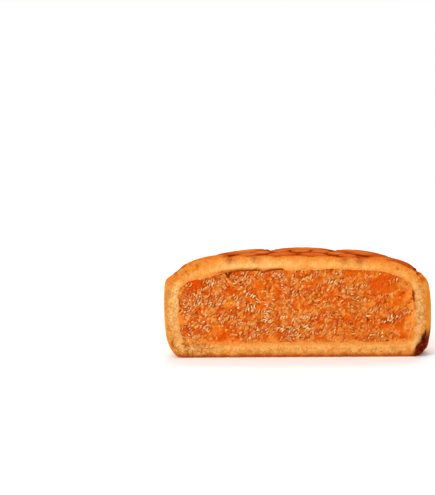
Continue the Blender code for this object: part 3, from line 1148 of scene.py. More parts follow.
    def crumb(self, x: Array, z: Array, coarse: Array, margin: Array) -> tuple[Array, Array]:
        """The relief of the crumb.

        Args:
            x: The places' X on the cut.
            z: Their height.
            coarse: How coarse the crumb is there.
            margin: How far they are from the skin.

        Returns:
            How far back each place lies, and how pitted it is, from 0 to 1.
        """
        flat = on_plane(x, z)
        pits, kind = cells(flat, self.pit_size, 5.0)
        broken = eased(grain(flat, self.pit_patch, 51.0) + 0.5 * kind, 0.1, 0.45)
        shown = 0.35 + 0.65 * Zone.most(self.pitted_zones, x, z)
        pitted = eased(pits, 0.24, 0.05) * coarse * broken * shown
        for (middle_x, middle_z), width in self.single_holes:
            away = np.hypot((x - middle_x * MM) * 1.3, z - middle_z * MM)
            pitted = np.maximum(pitted, eased(away, width * MM, 0.3 * width * MM))
        depth = self.crumb_lumps * grain(flat, self.lump_size, 2.0) + self.pit_depth * pitted
        depth += (1 + 0.6 * coarse) * self.crumb_grit * grain(flat, self.grit_size, 8.0)
        return depth + self.edge_softness * (1 - eased(margin, 0.0, 0.5 * MM)), pitted

    def skin_marks(self, plain: Array, row: Array) -> dict[str, Array]:
        """What the dough's finish reads on the skin: where it is sunk and darkened by pooled glaze and painted
        shade, where it is browned, with painted shade along the flutes' grooves, and where it is glazed and
        burnt.
        """
        radius, angle = polar(plain)
        x, height = plain[:, 0], plain[:, 2]
        groove = self.form.groove_share(angle)
        on_top = row < self.top_rows
        dark, edge = self.form.flower(radius, angle)[1:]
        # the channel is dark with pooled glaze; the notches between the lobes are painted shade
        channel = bump(radius, *self.channel) * (height > 19.5 * MM)
        notch = bump(height, *self.notch) * (radius > 32 * MM) * groove**2
        sunk = np.where(on_top, dark, 0.0) + channel * 0.85 + notch * 0.55

        per_lobe = clamped(0.75 + 0.8 * grain(self.around(plain, 0.0), 9 * MM, 2.0))
        crest = eased(1 - groove, 0.66, 0.94)
        crescent = bump(height, (18.6 + 0.6 * (1 - crest)) * MM, 0.55 * MM) * (radius > 32.4 * MM)
        crescent = crescent * crest * per_lobe
        patches = clamped(0.5 + 1.1 * grain(plain, 5 * MM, 7.0))
        on_side = (radius > 31.5 * MM) * eased(height, 18.5 * MM, 17 * MM)
        toasted_and_groove_shade = np.maximum.reduce([
            crescent,
            eased(height, 1.3 * MM, 0.2 * MM) * (0.35 + 0.5 * patches),
            on_side * 0.4 * eased(height, 7 * MM, 0.5 * MM) * (0.4 + 0.6 * patches),
            # painted shade along each flute's groove, and browning in the wrinkles low on the lobes
            on_side * (0.45 * eased(groove, 0.67, 0.76) + 1.3 * self.streaks(plain)),
            on_side * 0.22 * eased(x, 28 * MM, 33 * MM),
        ])
        flower_toast = np.maximum.reduce([
            (0.35 + 0.45 * patches) * eased(radius, 15 * MM, 22 * MM),
            0.95 * eased(radius, 20 * MM, 25 * MM) * eased(x, 5 * MM, 15 * MM),
            0.7 * eased(radius, 22 * MM, 16 * MM),
            0.9 * bump(radius, *self.toast_ring),
            0.85 * edge,
        ])
        glazed = np.where(height > 18.8 * MM, eased(height, 18.8 * MM, 19.9 * MM), 0.12 * (1 - groove))
        corner = np.hypot(x - self.burnt_place[0], (height - self.burnt_place[1]) * 0.5)
        return {
            "sunk": sunk,
            "toasted_and_groove_shade": np.maximum(toasted_and_groove_shade, np.where(on_top, flower_toast, 0.0)),
            "glazed": np.maximum(glazed * (1 - 0.45 * bump(radius, *self.thin_ring)), crescent),
            "burnt": eased(corner, *self.burnt_fade) * eased(plain[:, 1], *self.burnt_depth),
        }

    def cut_marks(self, x: Array, z: Array, margin: Array, inward: Array) -> dict[str, Array]:
        """What the dough's finish reads on the cut.

        Args:
            x: The X of each vertex.
            z: Its height.
            margin: How far it is from the skin.
            inward: How far it is from the skin towards the hollow, from 0 to 1.

        Returns:
            Where the crumb is browned, moist, creamy, crumbly and burnt, where its foot is dark, and where its
            sole
            and the gaps by the filling are darkened: the sole browned and given a painted contact shadow, the
                gaps
            given painted shade.
        """
        places = on_plane(x, z)
        up = eased(z, 16 * MM, 21 * MM)
        left = eased(x, -27 * MM, -31 * MM)
        width = self.band + sum(zone.at(x, z) for zone in self.wide_zones)
        cloud = 1 + 0.45 * grain(places, 2.4 * MM, 14.0)
        toned = Patches(3.2 * MM, 77.0, 0.0, 0.5).at(places) * eased(margin, 3.2 * MM, 1.0 * MM)
        browned = np.maximum.reduce([
            np.exp(-((margin / (width * MM * cloud)) ** (1.8 + 1.2 * left))),
            up * 0.8 * toned,
            up * 0.6 * bump(x, 3.2 * MM, 1.5 * MM),
            up * eased(x, -20 * MM, -24 * MM) * eased(margin, 2.4 * MM, 1.4 * MM),
        ])
        creamy = np.maximum(Zone.most(self.creamy_zones, x, z), 0.35 * up * bump(x, -11 * MM, 7 * MM))
        wave = grain(places * np.array([1.0, 0.0, 0.5]), 2.2 * MM, 9.0)
        spots = Patches(1.25 * MM, 27.0, 0.12, 0.42).at(places) * eased(x, -19 * MM, -25 * MM)
        footed = [
            eased(z, (1.3 + 0.7 * wave) * MM, (0.45 + 0.4 * wave) * MM),
            up * 0.75 * spots * eased(margin, 3.4 * MM, 1.2 * MM),
            up * 0.55 * eased(margin, 0.45 * MM, 0.1 * MM) * clamped(0.8 + 0.6 * wave),
        ]
        for middle, spread in self.stains:
            footed.append(up * 0.95 * bump(x, middle * MM, spread * MM) * eased(margin, 2.5 * MM, 0.6 * MM))
        # the sole: browned, and darkened further as a painted contact shadow
        sole = eased(z, 0.7 * MM, 0.1 * MM) * clamped(0.5 + 1.2 * wave)
        # painted shade in the gaps between the dough and the filling
        crack = eased(self.form.gap(x, z), 0.1 * MM, 0.3 * MM) * eased(inward, 0.84, 0.97)
        moist = eased(inward, 0.66, 0.98) * (0.8 + 0.4 * grain(places, 1.5 * MM, 71.0)) * (1 - 0.75 * left)
        corner = (x - 32.4 * MM) + (6.6 * MM - z) * 0.62 + 0.8 * MM * grain(places, 1.5 * MM, 33.0)
        return {
            "browned": browned,
            "moist": moist,
            "creamy": creamy,
            "crumbly": Zone.most(self.crumbly_zones, x, z),
            "footed": np.maximum.reduce(footed),
            "stained_and_shaded": np.maximum(sole * 0.95, crack * 0.8),
            "burnt_corner": eased(corner, -0.4 * MM, 0.6 * MM) * eased(x, 28.6 * MM, 30.2 * MM),
        }

    def dress(self, finish: DoughFinish) -> None:
        """Gives the crust its finish and its place in the frame."""
        self.piece.data.materials.clear()
        self.piece.data.materials.append(finish.make())
        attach(self.piece, "root")
        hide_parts("crust")


# ----------------------------------------------------------------------------------------------------------
# The filling
# ----------------------------------------------------------------------------------------------------------


@dataclass(frozen=True)
class FruitGrain:
    """How the fruit lies in the paste: smooth places, and chunks whose fibres lie along one direction."""

    seed: int = 5
    # the chunks, and how far and how finely their edges wander
    chunk: float = 2.7 * MM
    chunk_wander: float = 0.5 * MM
    chunk_wave: float = 1.6 * MM
    ridge: float = 0.36 * MM
    ridge_length: float = 1.3 * MM
    lean: float = math.radians(62)
    lean_span: float = math.radians(50)
    bundle_spacing: float = 2.3 * MM
    strand_spacing: float = 0.58 * MM
    # how far the row of a bundle's strands turns from the strands' own direction
    skew: Span = (math.radians(38), math.radians(80))
    # where fibres and grains may lie
    across: Span = (-29.6 * MM, 29.6 * MM)
    upward: Span = (4 * MM, 23 * MM)
    # (x, height, reach, rise) in mm of the larger smooth patches of jelly, how ripe each is, and how smooth
    patches: tuple[tuple[float, float, float, float, float, float], ...] = (
        (-25.0, 19.4, 2.3, 0.9, -1.4, 1.0),
        (-26.6, 17.8, 1.7, 1.4, -0.8, 0.6),
        (-9.9, 15.6, 1.9, 1.4, 0.3, 0.95),
        (-8.5, 18.6, 1.4, 1.1, -0.2, 0.8),
        (-20.6, 6.9, 2.1, 1.6, 0.3, 0.9),
        (-28.2, 7.8, 1.2, 1.2, -0.9, 0.7),
        (22.5, 18.2, 3.2, 2.2, -0.35, 0.9),
        (25.3, 8.3, 2.0, 1.6, -0.1, 0.6),
        (17.1, 5.6, 2.2, 0.9, 0.6, 0.7),
        (26.3, 14.0, 1.8, 1.4, 0.0, 0.8),
    )
    # how finely the patches' edges wander, more smooth jelly, the small holes, and where there are any
    patch_wave: float = 1.8 * MM
    jelly: Patches = Patches(2.9 * MM, 23.0, 0.10, 0.40)
    small_holes: Patches = Patches(0.75 * MM, 19.0, 0.34, 0.62)
    holed: Patches = Patches(3.5 * MM, 29.0, -0.1, 0.3)
    # (x, height) in mm of the lightest bundles of fibres, whose paleness partly stands in for painted glints,
    # and how far each of these places reaches
    light_places: Outline = (
        (-22.4, 18.2), (-20.4, 16.6), (-15.6, 20.7), (-11.9, 17.0), (-17.4, 14.5), (-24.2, 14.4),
        (-19.4, 10.4), (-25.0, 7.6), (-9.7, 12.9), (-6.7, 11.3), (-4.8, 21.8), (-3.3, 8.1), (1.1, 8.9),
        (13.2, 17.1), (11.6, 14.9), (11.1, 21.2), (17.8, 12.7), (12.8, 6.2), (19.3, 6.4), (24.9, 10.4),
    )
    light_reach: float = 2.2
    # how light a bundle can be, and how often it is
    lights: tuple[float, ...] = (0.18, 0.50, 1.0)
    light_shares: tuple[float, ...] = (0.28, 0.36, 0.36)
    strand_length: Span = (0.8, 1.5)
    # the sizes of the patches of colour
    ripe_cell: float = 3.0 * MM
    ripe_cloud: float = 2.6 * MM
    # (size, seed) and depth of each kind of relief
    lump: Span = (3.0 * MM, 12.0)
    lump_depth: float = 0.16 * MM
    knob: Span = (1.1 * MM, 37.0)
    knob_depth: float = 0.13 * MM
    ridge_depth: float = 0.12 * MM
    grit: Span = (0.4 * MM, 5.0)
    grit_depth: float = 0.05 * MM
    hole_depth: float = 0.35 * MM
    # the soaked border along the right edge: where it begins, how far and finely that wanders, and its width
    soak_start: float = 26.6 * MM
    soak_wander: float = 1.3 * MM
    soak_wave: float = 2.4 * MM
    soak_width: float = 3.2 * MM
    # the height of its middle, and how far from there it ends
    soak_middle: float = 12.0 * MM
    soak_ends: Span = (9.5 * MM, 5.5 * MM)

    def smoothness(self, flat: Array) -> Array:
        """How smooth the paste is at places on the cut, from 0 to 1."""
        smooth = self.in_patches(flat)[1]
        return np.maximum.reduce([0.85 * self.jelly.at(flat), 0.55 * self.soaked(flat), smooth])

    def in_patches(self, flat: Array) -> tuple[Array, Array]:
        """How much riper the patches of jelly make places on the cut, and how smooth, from 0 to 1."""
        riper, smooth = np.zeros(len(flat)), np.zeros(len(flat))
        wave = 0.35 * grain(flat, self.patch_wave, 67.0)
        for x, z, reach, rise, ripe, even in self.patches:
            away = ((flat[:, 0] / MM - x) / reach) ** 2 + ((flat[:, 2] / MM - z) / rise) ** 2
            inside = eased(away + wave, 1.5, 0.6)
            riper += ripe * inside
            smooth = np.maximum(smooth, even * inside)
        return riper, smooth

    def ripeness(self, flat: Array) -> Array:
        """The colour of the fruit at places on the cut, from -1 for red to 1 for yellow."""
        tag = cells(flat, self.ripe_cell, 57.0)[1]
        riper, smooth = self.in_patches(flat)
        return (grain(flat, self.ripe_cloud, 91.0) * 1.2 + (tag - 0.5) * 0.9) * (1 - 0.8 * smooth) + riper

    def bundles(self) -> Array:
        """The bundles of fibres.

        Returns:
            One row for each: its X, its height, its strands' angle, how light it is, how many strands it has,
            how long they are, and how far the row of them turns from their angle.
        """
        rng = np.random.default_rng(self.seed)
        across, up = np.meshgrid(
            np.arange(*self.across, self.bundle_spacing), np.arange(*self.upward, self.bundle_spacing)
        )
        middles = np.column_stack([across.ravel(), up.ravel()])
        middles += rng.uniform(-0.5, 0.5, middles.shape) * self.bundle_spacing
        flat, count = on_plane(*middles.T), len(middles)
        near = np.zeros(count)
        for x, z in self.light_places:
            away = np.hypot(middles[:, 0] / MM - x, middles[:, 1] / MM - z)
            near = np.maximum(near, np.exp(-((away / self.light_reach) ** 2)))
        sparse = 0.15 + 0.85 * self.smoothness(flat) + 0.025 * np.maximum(0.0, middles[:, 0] / MM - 6)
        sparse *= 1 - 0.9 * near
        kept = rng.random(count) > sparse
        light = rng.choice(self.lights, count, p=self.light_shares) + rng.normal(0, 0.05, count)
        light = light * (0.5 + 0.5 * near) + 0.4 * near
        strands, length = rng.integers(2, 6, count), rng.uniform(*self.strand_length, count) * MM
        skew = rng.uniform(*self.skew, count)
        return np.column_stack([middles, self.direction(flat), clamped(light), strands, length, skew])[kept]

    def furrows(self, flat: Array) -> Array:
        """How deep places on the cut lie between the strands of a bundle, from 0 to 1."""
        depth = np.zeros(len(flat))
        for x, z, angle, light, strands, length, skew in self.bundles():
            right, up = flat[:, 0] - x, flat[:, 2] - z
            aside = up * math.cos(angle) - right * math.sin(angle)
            along = right * math.cos(angle) + up * math.sin(angle) + aside / math.tan(skew)
            aside = aside / self.strand_spacing
            inside = eased(np.abs(along), 0.8 * length, 0.4 * length)
            inside *= eased(np.abs(aside), strands / 2 + 0.6, strands / 2)
            between = 0.5 - 0.5 * np.cos(math.tau * (aside + (strands - 1) / 2))
            depth = np.maximum(depth, inside * (0.25 + 0.75 * between) * (0.45 + 0.55 * light))
        return depth

    def direction(self, flat: Array) -> Array:
        """The angle of the fibres at places on the cut, nearly the same within a chunk."""
        aside = on_plane(grain(flat, self.chunk_wave, 31.0), grain(flat, self.chunk_wave, 47.0))
        tag = cells(flat + self.chunk_wander * aside, self.chunk, 17.0)[1]
        return self.lean + (tag - 0.5) * self.lean_span + np.where(tag > 0.85, math.radians(70), 0.0)

    def ridges(self, flat: Array) -> Array:
        """The height of the fibres at places on the cut, from -1 to 1."""
        angle = self.direction(flat)
        along = flat[:, 0] * np.cos(angle) + flat[:, 2] * np.sin(angle)
        across = -flat[:, 0] * np.sin(angle) + flat[:, 2] * np.cos(angle)
        return grain(np.column_stack([across / self.ridge, angle * 9.0, along / self.ridge_length]), 1.0)

    def holes(self, flat: Array) -> Array:
        """Where the paste has small holes, from 0 to 1."""
        return self.small_holes.at(flat) * self.holed.at(flat) * (1 - 0.9 * self.in_patches(flat)[1])

    def surface(self, flat: Array) -> Array:
        """How far the cut stands out at places on it."""
        rough = self.knob_depth * grain(flat, *self.knob) + self.ridge_depth * self.ridges(flat)
        rough += self.grit_depth * grain(flat, *self.grit)
        depth = self.lump_depth * grain(flat, *self.lump) + rough * (1 - 0.75 * self.smoothness(flat))
        return depth - self.hole_depth * self.holes(flat)

    def soaked(self, flat: Array) -> Array:
        """How far places on the cut are in the border where paste has soaked the dough, from 0 to 1."""
        inner = self.soak_start + self.soak_wander * grain(flat, self.soak_wave, 61.0)
        upward = eased(np.abs(flat[:, 2] - self.soak_middle), *self.soak_ends)
        return eased(flat[:, 0] - inner, 0.0, self.soak_width) * upward


@dataclass
class Filling:
    """The pineapple paste, whose cut face is rough with chunks, fibres and small holes."""

    form: CakeForm
    seat: Seat
    fruit: FruitGrain
    columns: int = 430
    rows: int = 134
    slices: int = 14
    outline_points: int = 600
    sunk: float = 0.22 * MM
    # how far back the round body reaches, as a share of the hollow, and the least half width of its slices
    fit: float = 0.995
    least_width: float = 0.5 * MM
    # about half the cut face's width, and its height for that, which turn shares into distances from the edge
    face_reach: float = 30.0 * MM
    face_rise: float = 0.31
    # how wide the edge is where the face runs flush into the dough
    edge_width: float = 0.7 * MM
    # from how far away to how close the branch of the gap deepens, and how deep it is
    branch_fade: Span = (0.36 * MM, 0.15 * MM)
    branch_depth: float = 0.6 * MM
    furrow_depth: float = 0.14 * MM
    # how far out on the face a gap beside it darkens it, as a share
    gap_share: float = 0.985
    piece: bpy.types.Object = field(init=False)

    def heights(self, x: Array, y: Array) -> tuple[Array, Array]:
        """The filling's bottom and top at places of its plan."""
        outline = drawn_through(self.form.filling_outline, self.outline_points)
        reach = np.hypot(x, y)
        widest = int(np.argmax(outline[:, 0]))
        reach = np.minimum(reach, outline[widest, 0])
        top = np.interp(reach, outline[: widest + 1, 0], outline[: widest + 1, 1])
        under = outline[: widest - 1 : -1]
        bottom = np.interp(reach, under[:, 0], under[:, 1])
        return bottom, top

    def build(self) -> None:
        """Makes the cut face as a fine grid, draws its edge back into a round body, and roughens it."""
        form = self.form
        Bench.clear()
        bpy.ops.mesh.primitive_grid_add(
            x_subdivisions=self.columns, y_subdivisions=self.rows, size=2.0, rotation=(math.radians(90), 0, 0)
        )
        paste = Bench.named("filling_pulp")
        bpy.ops.object.transform_apply(location=False, rotation=True, scale=False)
        with Bench.editing(paste, "EDGE"):
            Bench.select_boundary(paste)
            for _ in range(self.slices):
                bpy.ops.mesh.extrude_region_move(TRANSFORM_OT_translate={"value": (0.0, 1.0, 0.0)})
            bpy.ops.mesh.merge(type="COLLAPSE")
        shares = Bench.points(paste)
        slice_of = np.round(shares[:, 1])
        widest = max(point[0] for point in form.filling_outline) * MM
        back = np.sin(slice_of / self.slices * math.pi / 2) * (widest - form.cut_place) * self.fit
        y = form.cut_place + back
        half_width = np.sqrt(np.maximum(widest**2 - y**2, self.least_width**2))
        x = shares[:, 0] * half_width
        bottom, top = self.heights(x, y)
        z = bottom + (shares[:, 2] + 1) / 2 * (top - bottom)
        points = form.pressed(np.column_stack([x, y, z]))
        on_face = slice_of < 0.5
        points[on_face, 1] = form.cut_place
        self.piece = paste
        self.roughen(points, on_face, shares)

    def roughen(self, points: Array, on_face: Array, shares: Array) -> None:
        """Gives the cut face its relief, and stores what the finish reads.

        Args:
            points: The filling's vertices.
            on_face: Which of them lie on the cut face.
            shares: Their places in the grid that the face was made from, from -1 to 1.
        """
        fruit, flat = self.fruit, on_plane(*points[on_face][:, (0, 2)].T)
        in_from_sides, in_from_ends = 1 - np.abs(shares[on_face, 0]), 1 - np.abs(shares[on_face, 2])
        to_edge = np.minimum(in_from_sides, in_from_ends * self.face_rise) * self.face_reach
        edge = eased(to_edge, self.edge_width, 0.0)
        flush = edge * (0.6 + 0.4 * eased(flat[:, 2], 20 * MM, 18 * MM))
        ridges, rough, furrows = fruit.ridges(flat), 1 - fruit.smoothness(flat), fruit.furrows(flat)
        lines = eased(line_distance(flat[:, 0], flat[:, 2], self.form.branch), *self.branch_fade)
        points[on_face, 1] -= fruit.surface(flat) * (1 - edge * 0.7) - self.sunk * (1 - flush)
        points[on_face, 1] += self.branch_depth * lines + self.furrow_depth * furrows

        marks = {name: np.zeros(len(points)) for name in ("tone", "deep", "soaked")}
        marks["tone"][on_face] = 0.4 * rough * eased(ridges, 0.12, 0.5) * (1 - furrows)
        # painted shade in the small holes, the troughs between the ridges, the furrows between the strands and
        # the branch
        pits = 0.9 * fruit.holes(flat) + 0.55 * eased(-ridges, 0.08, 0.42) * rough
        marks["deep"][on_face] = np.maximum.reduce([pits, 0.95 * furrows, lines])
        reach = (1.3 + 0.6 * eased(flat[:, 0], -20 * MM, -28 * MM)) * MM
        border = eased(to_edge * (1 + 0.5 * grain(flat, 1.6 * MM, 83.0)), reach, 0.0)
        border *= 0.85 * eased(flat[:, 2], 21 * MM, 19 * MM) * clamped(1 + fruit.in_patches(flat)[0])
        marks["soaked"][on_face] = np.maximum(fruit.soaked(flat), border)
        # painted shade on the filling beside the gaps between it and the dough
        opened = eased(self.form.gap(points[:, 0], points[:, 2]), 0.1 * MM, 0.35 * MM)
        aside = np.maximum(np.abs(shares[:, 0]), np.abs(shares[:, 2])) > self.gap_share
        marks["deep"] += opened * (aside | ~on_face)
        for name, values in marks.items():
            Bench.mark(self.piece, name, clamped(values))
        ripe = np.zeros(len(points))
        ripe[on_face] = np.clip(fruit.ripeness(flat), -1.0, 1.0)
        Bench.mark(self.piece, "ripe", ripe)
        self.seat.put(self.piece, points)
        Bench.face_outwards(self.piece)
        Bench.smooth(self.piece, 80)

    def dress(self, finish: FruitFinish) -> None:
        """Gives the filling its finish and its place in the frame."""
        self.piece.data.materials.append(finish.make())
        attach(self.piece, "root")
        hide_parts("filling")


class Lie(Enum):
    """How small bits of fruit lie in the cut."""

    IN_BUNDLES = "in bundles"
    SINGLY = "singly"


@dataclass
class FruitBits:
    """Many small bits of fruit half sunk in the cut face, joined in one mesh."""

    name: str
    form: CakeForm
    seat: Seat
    fruit: FruitGrain
    lie: Lie
    doublings: int
    seed: int
    length: Span
    width: Span
    tone: Span
    sunk: float = 0.22 * MM
    thickness: float = 0.75
    # how far the bits stay from the filling's edge and from the branch of the gap
    border: float = 0.55 * MM
    # how far bits stray along their strand, how far they and single bits turn from it, and how far they bend
    stray: float = 0.45 * MM
    turn: float = 0.32
    loose_turn: float = 0.35
    bend: float = 0.55
    # how many single bits are strewn for each that is wanted, so that enough of them lie in rough places
    plenty: int = 3
    # how far apart the bits are while they are doubled
    apart: float = 4.0
    piece: bpy.types.Object = field(init=False)

    def in_bundles(self, rng: np.random.Generator) -> Array:
        """The bits of the fruit's bundles: the X, the height, the angle, the tone and the length of each."""
        rows = []
        for x, z, angle, light, strands, length, skew in self.fruit.bundles():
            count = int(strands)
            aside = (np.arange(count) - (count - 1) / 2) * self.fruit.strand_spacing
            along = rng.uniform(-self.stray, self.stray, count) - aside / math.tan(skew)
            # the strands' tone: pale fibre whose lightness also stands in for painted glints
            tone = self.tone[0] + (self.tone[1] - self.tone[0]) * light * rng.uniform(0.35, 1.35, count)
            rows.append(np.column_stack([
                x + along * math.cos(angle) - aside * math.sin(angle),
                z + along * math.sin(angle) + aside * math.cos(angle),
                angle + rng.normal(0, self.turn, count),
                clamped(tone),
                length * rng.uniform(0.5, 1.25, count),
            ]))
        return np.vstack(rows)

    def loose(self, rng: np.random.Generator, count: int) -> Array:
        """Bits strewn singly over the rough places, with the same five numbers for each."""
        x, z = rng.uniform(*self.fruit.across, count), rng.uniform(*self.fruit.upward, count)
        flat = on_plane(x, z)
        angle = self.fruit.direction(flat) + rng.normal(0, self.loose_turn, count)
        tone = rng.uniform(0, 1, count) ** 2 * self.tone[1] * (1 - 0.5 * eased(x, 6 * MM, 20 * MM))
        rows = np.column_stack([x, z, angle, tone, rng.uniform(*self.length, count)])
        return rows[rng.random(count) > 0.95 * self.fruit.smoothness(flat)]

    def spots(self, rng: np.random.Generator, filling: Filling, count: int) -> Array:
        """Where the bits lie, how light each is, and how long."""
        found = self.in_bundles(rng) if self.lie is Lie.IN_BUNDLES else np.empty((0, 5))
        found = np.vstack([found, self.loose(rng, self.plenty * max(0, count - len(found)))])
        bottom, top = filling.heights(found[:, 0], np.full(len(found), self.form.cut_place))
        inside = (found[:, 1] > bottom + self.border) & (found[:, 1] < top - self.border)
        inside &= line_distance(found[:, 0], found[:, 1], self.form.branch) > self.border
        return found[inside][:count]

    def build(self, filling: Filling) -> None:
        """Models one bit, doubles it until there are enough, and lays each one in the cut."""
        Bench.clear()
        lying = (0, math.radians(90), 0)
        bpy.ops.mesh.primitive_uv_sphere_add(segments=8, ring_count=6, radius=1.0, rotation=lying)
        bits = Bench.named(self.name)
        bpy.ops.object.transform_apply(location=False, rotation=True, scale=False)
        count = 2**self.doublings
        with Bench.editing(bits):
            for doubling in range(self.doublings):
                step = (0.0, 0.0, self.apart * 2**doubling)
                bpy.ops.mesh.select_all(action="SELECT")
                bpy.ops.mesh.duplicate_move(TRANSFORM_OT_translate={"value": step})
        points = Bench.points(bits)
        number = np.round(points[:, 2] / self.apart).astype(int)
        points[:, 2] -= number * self.apart
        rng = np.random.default_rng(self.seed)
        spots = self.spots(rng, filling, count)
        number = number % len(spots)
        x, up, angle, tone, length = spots[number].T
        length = length / 2
        width = rng.uniform(*self.width, count)[number] / 2
        bend = rng.uniform(-self.bend, self.bend, count)[number]
        ripe = rng.uniform(-0.9, 0.7, count)[number]
        along, across, out = points[:, 0], points[:, 1], points[:, 2]
        across = across * width + bend * (along**2) * length
        along = along * length
        place_x = x + along * np.cos(angle) - across * np.sin(angle)
        place_z = up + along * np.sin(angle) + across * np.cos(angle)
        flat = on_plane(place_x, place_z)
        level = 0.5 * (self.fruit.surface(flat) + self.fruit.surface(on_plane(x, up)))
        stands = level - self.sunk + out * width * self.thickness
        # deep: painted shade on each bit's underside, next to the paste
        marks = {"tone": tone, "deep": eased(-out, 0.1, 0.8), "ripe": ripe, "soaked": np.zeros(len(tone))}
        for name, values in marks.items():
            Bench.mark(bits, name, values)
        self.seat.put(bits, np.column_stack([place_x, self.form.cut_place - stands, place_z]))
        Bench.smooth(bits, 80)
        self.piece = bits

    def dress(self, finish: FruitFinish) -> None:
        """Gives the bits their finish and their place in the frame."""
        self.piece.data.materials.append(finish.make())
        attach(self.piece, "root")


# ----------------------------------------------------------------------------------------------------------
# The studio
# ----------------------------------------------------------------------------------------------------------


@dataclass(frozen=True)
class SoftBox:
    """One area light that looks at the cake."""

    name: str
    place: tuple[float, float, float]
    size: float
    power: float
    colour: Colour = (1.0, 1.0, 1.0)

    def switch_on(self, target: Vector) -> None:
        """Adds the light, turned to the target."""
        lamp = bpy.data.lights.new(self.name, "AREA")
        lamp.shape = "SQUARE"
        lamp.size = self.size
        lamp.energy = self.power
        lamp.color = self.colour
        stand = bpy.data.objects.new(self.name, lamp)
        bpy.context.scene.collection.objects.link(stand)
        stand.location = self.place
        stand.rotation_euler = (target - Vector(self.place)).to_track_quat("-Z", "Y").to_euler()


@dataclass(frozen=True)
class Viewpoint:
    """Where the photograph was taken from, and where in its frame the object lies."""

    azimuth: float = 6.0
    elevation: float = 9.5
    distance: float = 300.0 * MM
    focal_pixels: float = 1114.0
    object_pixel: Span = (300.8, 295.2)
    roll: float = -2.6
    target_height: float = 13.0 * MM
    sensor: float = 36.0
    clip: Span = (0.01, 20.0)

    def set_up(self) -> None:
        """Adds the camera and makes it the scene's."""
        width, height = FRAME_SIZE
        data = bpy.data.cameras.new("view")
        data.sensor_width = self.sensor
        data.lens = self.sensor * self.focal_pixels / max(width, height)
        data.clip_start, data.clip_end = self.clip
        camera = bpy.data.objects.new("view", data)
        bpy.context.scene.collection.objects.link(camera)
        turn, lift = math.radians(self.azimuth), math.radians(self.elevation)
        away = Vector((math.sin(turn) * math.cos(lift), -math.cos(turn) * math.cos(lift), math.sin(lift)))
        target = Vector((0.0, 0.0, self.target_height))
        camera.location = target + self.distance * away
        camera.rotation_euler = self._aim(away).to_euler()
        bpy.context.scene.camera = camera

    def _aim(self, away: Vector) -> Matrix:
        """The camera's turn that puts the target at its pixel, rolled about the line to it."""
        width, height = FRAME_SIZE
        across = (self.object_pixel[0] - width / 2) / self.focal_pixels
        down = (self.object_pixel[1] - height / 2) / self.focal_pixels
        ray = Vector((across, -down, -1.0)).normalized()
        tilt = -math.asin(away.z / math.hypot(ray.y, ray.z)) - math.atan2(ray.y, -ray.z)
        level = Matrix.Rotation(tilt + math.pi / 2, 3, "X") @ ray
        heading = math.atan2(level.x, level.y)
        wanted = math.atan2(-away.x, -away.y)
        turned = Matrix.Rotation(heading - wanted, 3, "Z") @ Matrix.Rotation(tilt + math.pi / 2, 3, "X")
        return Matrix.Rotation(math.radians(self.roll), 3, away) @ turned


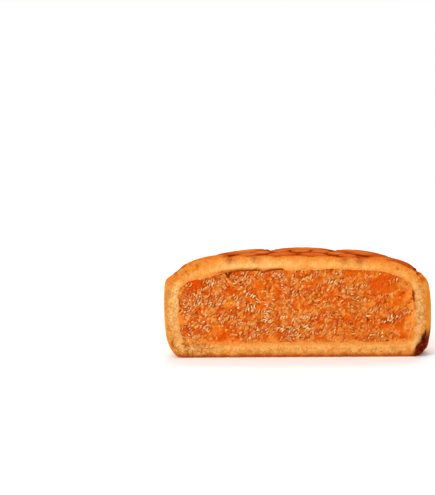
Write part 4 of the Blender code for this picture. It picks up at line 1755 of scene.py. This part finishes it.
@dataclass
class Studio:
    """The pale floor, the soft light and the camera."""

    target: Vector = field(default_factory=lambda: Vector((0.0, -0.005, 0.014)))
    floor_size: float = 1.1
    floor_colour: Colour = (0.93, 0.93, 0.93)
    # (from, to, strength at from, strength at to): from front to back, and from the horizon up to overhead
    glow_across: tuple[float, ...] = (-0.2, 0.6, 0.25, 0.05)
    glow_overhead: tuple[float, ...] = (0.35, 0.8, 0.0, 0.78)
    boxes: tuple[SoftBox, ...] = (
        SoftBox("key", (-0.36, -0.40, 0.36), 0.30, 2.1),
        SoftBox("fill", (0.60, -0.22, 0.22), 0.45, 1.15),
        SoftBox("back", (0.00, 0.75, 1.25), 0.80, 9.0),
    )

    def light_world(self, tree: bpy.types.NodeTree) -> None:
        """Makes a white surround, which lights the object most from overhead and in front."""
        background = tree.nodes["Background"]
        direction = tree.nodes.new("ShaderNodeTexCoord")
        parts = tree.nodes.new("ShaderNodeSeparateXYZ")
        seen = tree.nodes.new("ShaderNodeLightPath")
        total = tree.nodes.new("ShaderNodeMath")
        strength = tree.nodes.new("ShaderNodeMix")
        background.inputs["Color"].default_value = (1.0, 1.0, 1.0, 1.0)
        strength.inputs[3].default_value = 1.0
        tree.links.new(direction.outputs["Generated"], parts.inputs[0])
        for number, (axis, span) in enumerate((("Y", self.glow_across), ("Z", self.glow_overhead))):
            glow = tree.nodes.new("ShaderNodeMapRange")
            for place, value in enumerate(span, start=1):
                glow.inputs[place].default_value = value
            tree.links.new(parts.outputs[axis], glow.inputs[0])
            tree.links.new(glow.outputs[0], total.inputs[number])
        tree.links.new(seen.outputs["Is Camera Ray"], strength.inputs[0])
        tree.links.new(total.outputs[0], strength.inputs[2])
        tree.links.new(strength.outputs[0], background.inputs["Strength"])

    def set_up(self, viewpoint: Viewpoint) -> None:
        """Adds the floor, the lights, the world and the camera."""
        Bench.clear()
        bpy.ops.mesh.primitive_plane_add(size=self.floor_size, location=(0, 0, 0))
        floor = Bench.named("floor")
        floor.data.materials.append(PlainFinish("pale_floor", self.floor_colour).make())
        floor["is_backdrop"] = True
        world = bpy.data.worlds.new("studio")
        world.use_nodes = True
        self.light_world(world.node_tree)
        bpy.context.scene.world = world
        for box in self.boxes:
            box.switch_on(self.target)
        viewpoint.set_up()
        bpy.context.scene.view_settings.view_transform = "Standard"


def main() -> None:
    """Builds the cake's pieces over the frame, and the studio round them."""
    logging.basicConfig(level=logging.INFO, format="%(name)s: %(message)s")
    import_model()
    frame_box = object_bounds()
    form, seat, fruit = CakeForm(), Seat.in_frame(frame_box), FruitGrain()

    crust = Crust(form, seat)
    crust.build()
    crust.dress(DoughFinish())
    log.info("crust: %d faces", len(crust.piece.data.polygons))

    filling = Filling(form, seat, fruit)
    filling.build()
    filling.dress(FruitFinish("pineapple_paste"))
    log.info("filling: %d faces", len(filling.piece.data.polygons))

    fibres = FruitBits(
        "pineapple_fibres", form, seat, fruit, Lie.IN_BUNDLES, doublings=10, seed=5,
        length=(0.5 * MM, 1.0 * MM), width=(0.26 * MM, 0.44 * MM), tone=(0.05, 1.0), thickness=0.95,
    )
    grains = FruitBits(
        "pineapple_grains", form, seat, fruit, Lie.SINGLY, doublings=10, seed=8,
        length=(0.6 * MM, 1.2 * MM), width=(0.5 * MM, 0.85 * MM), tone=(0.0, 0.6), thickness=0.55,
    )
    for bits, finish in (
        (fibres, FruitFinish("pineapple_fibre", coat=0.30, roughness=0.25, pale=(1.00, 0.66, 0.32))),
        (grains, FruitFinish("pineapple_grain", coat=0.4, roughness=0.25)),
    ):
        bits.build(filling)
        bits.dress(finish)
        log.info("%s: %d faces", bits.name, len(bits.piece.data.polygons))

    Studio().set_up(Viewpoint())


if __name__ == "__main__":
    main()
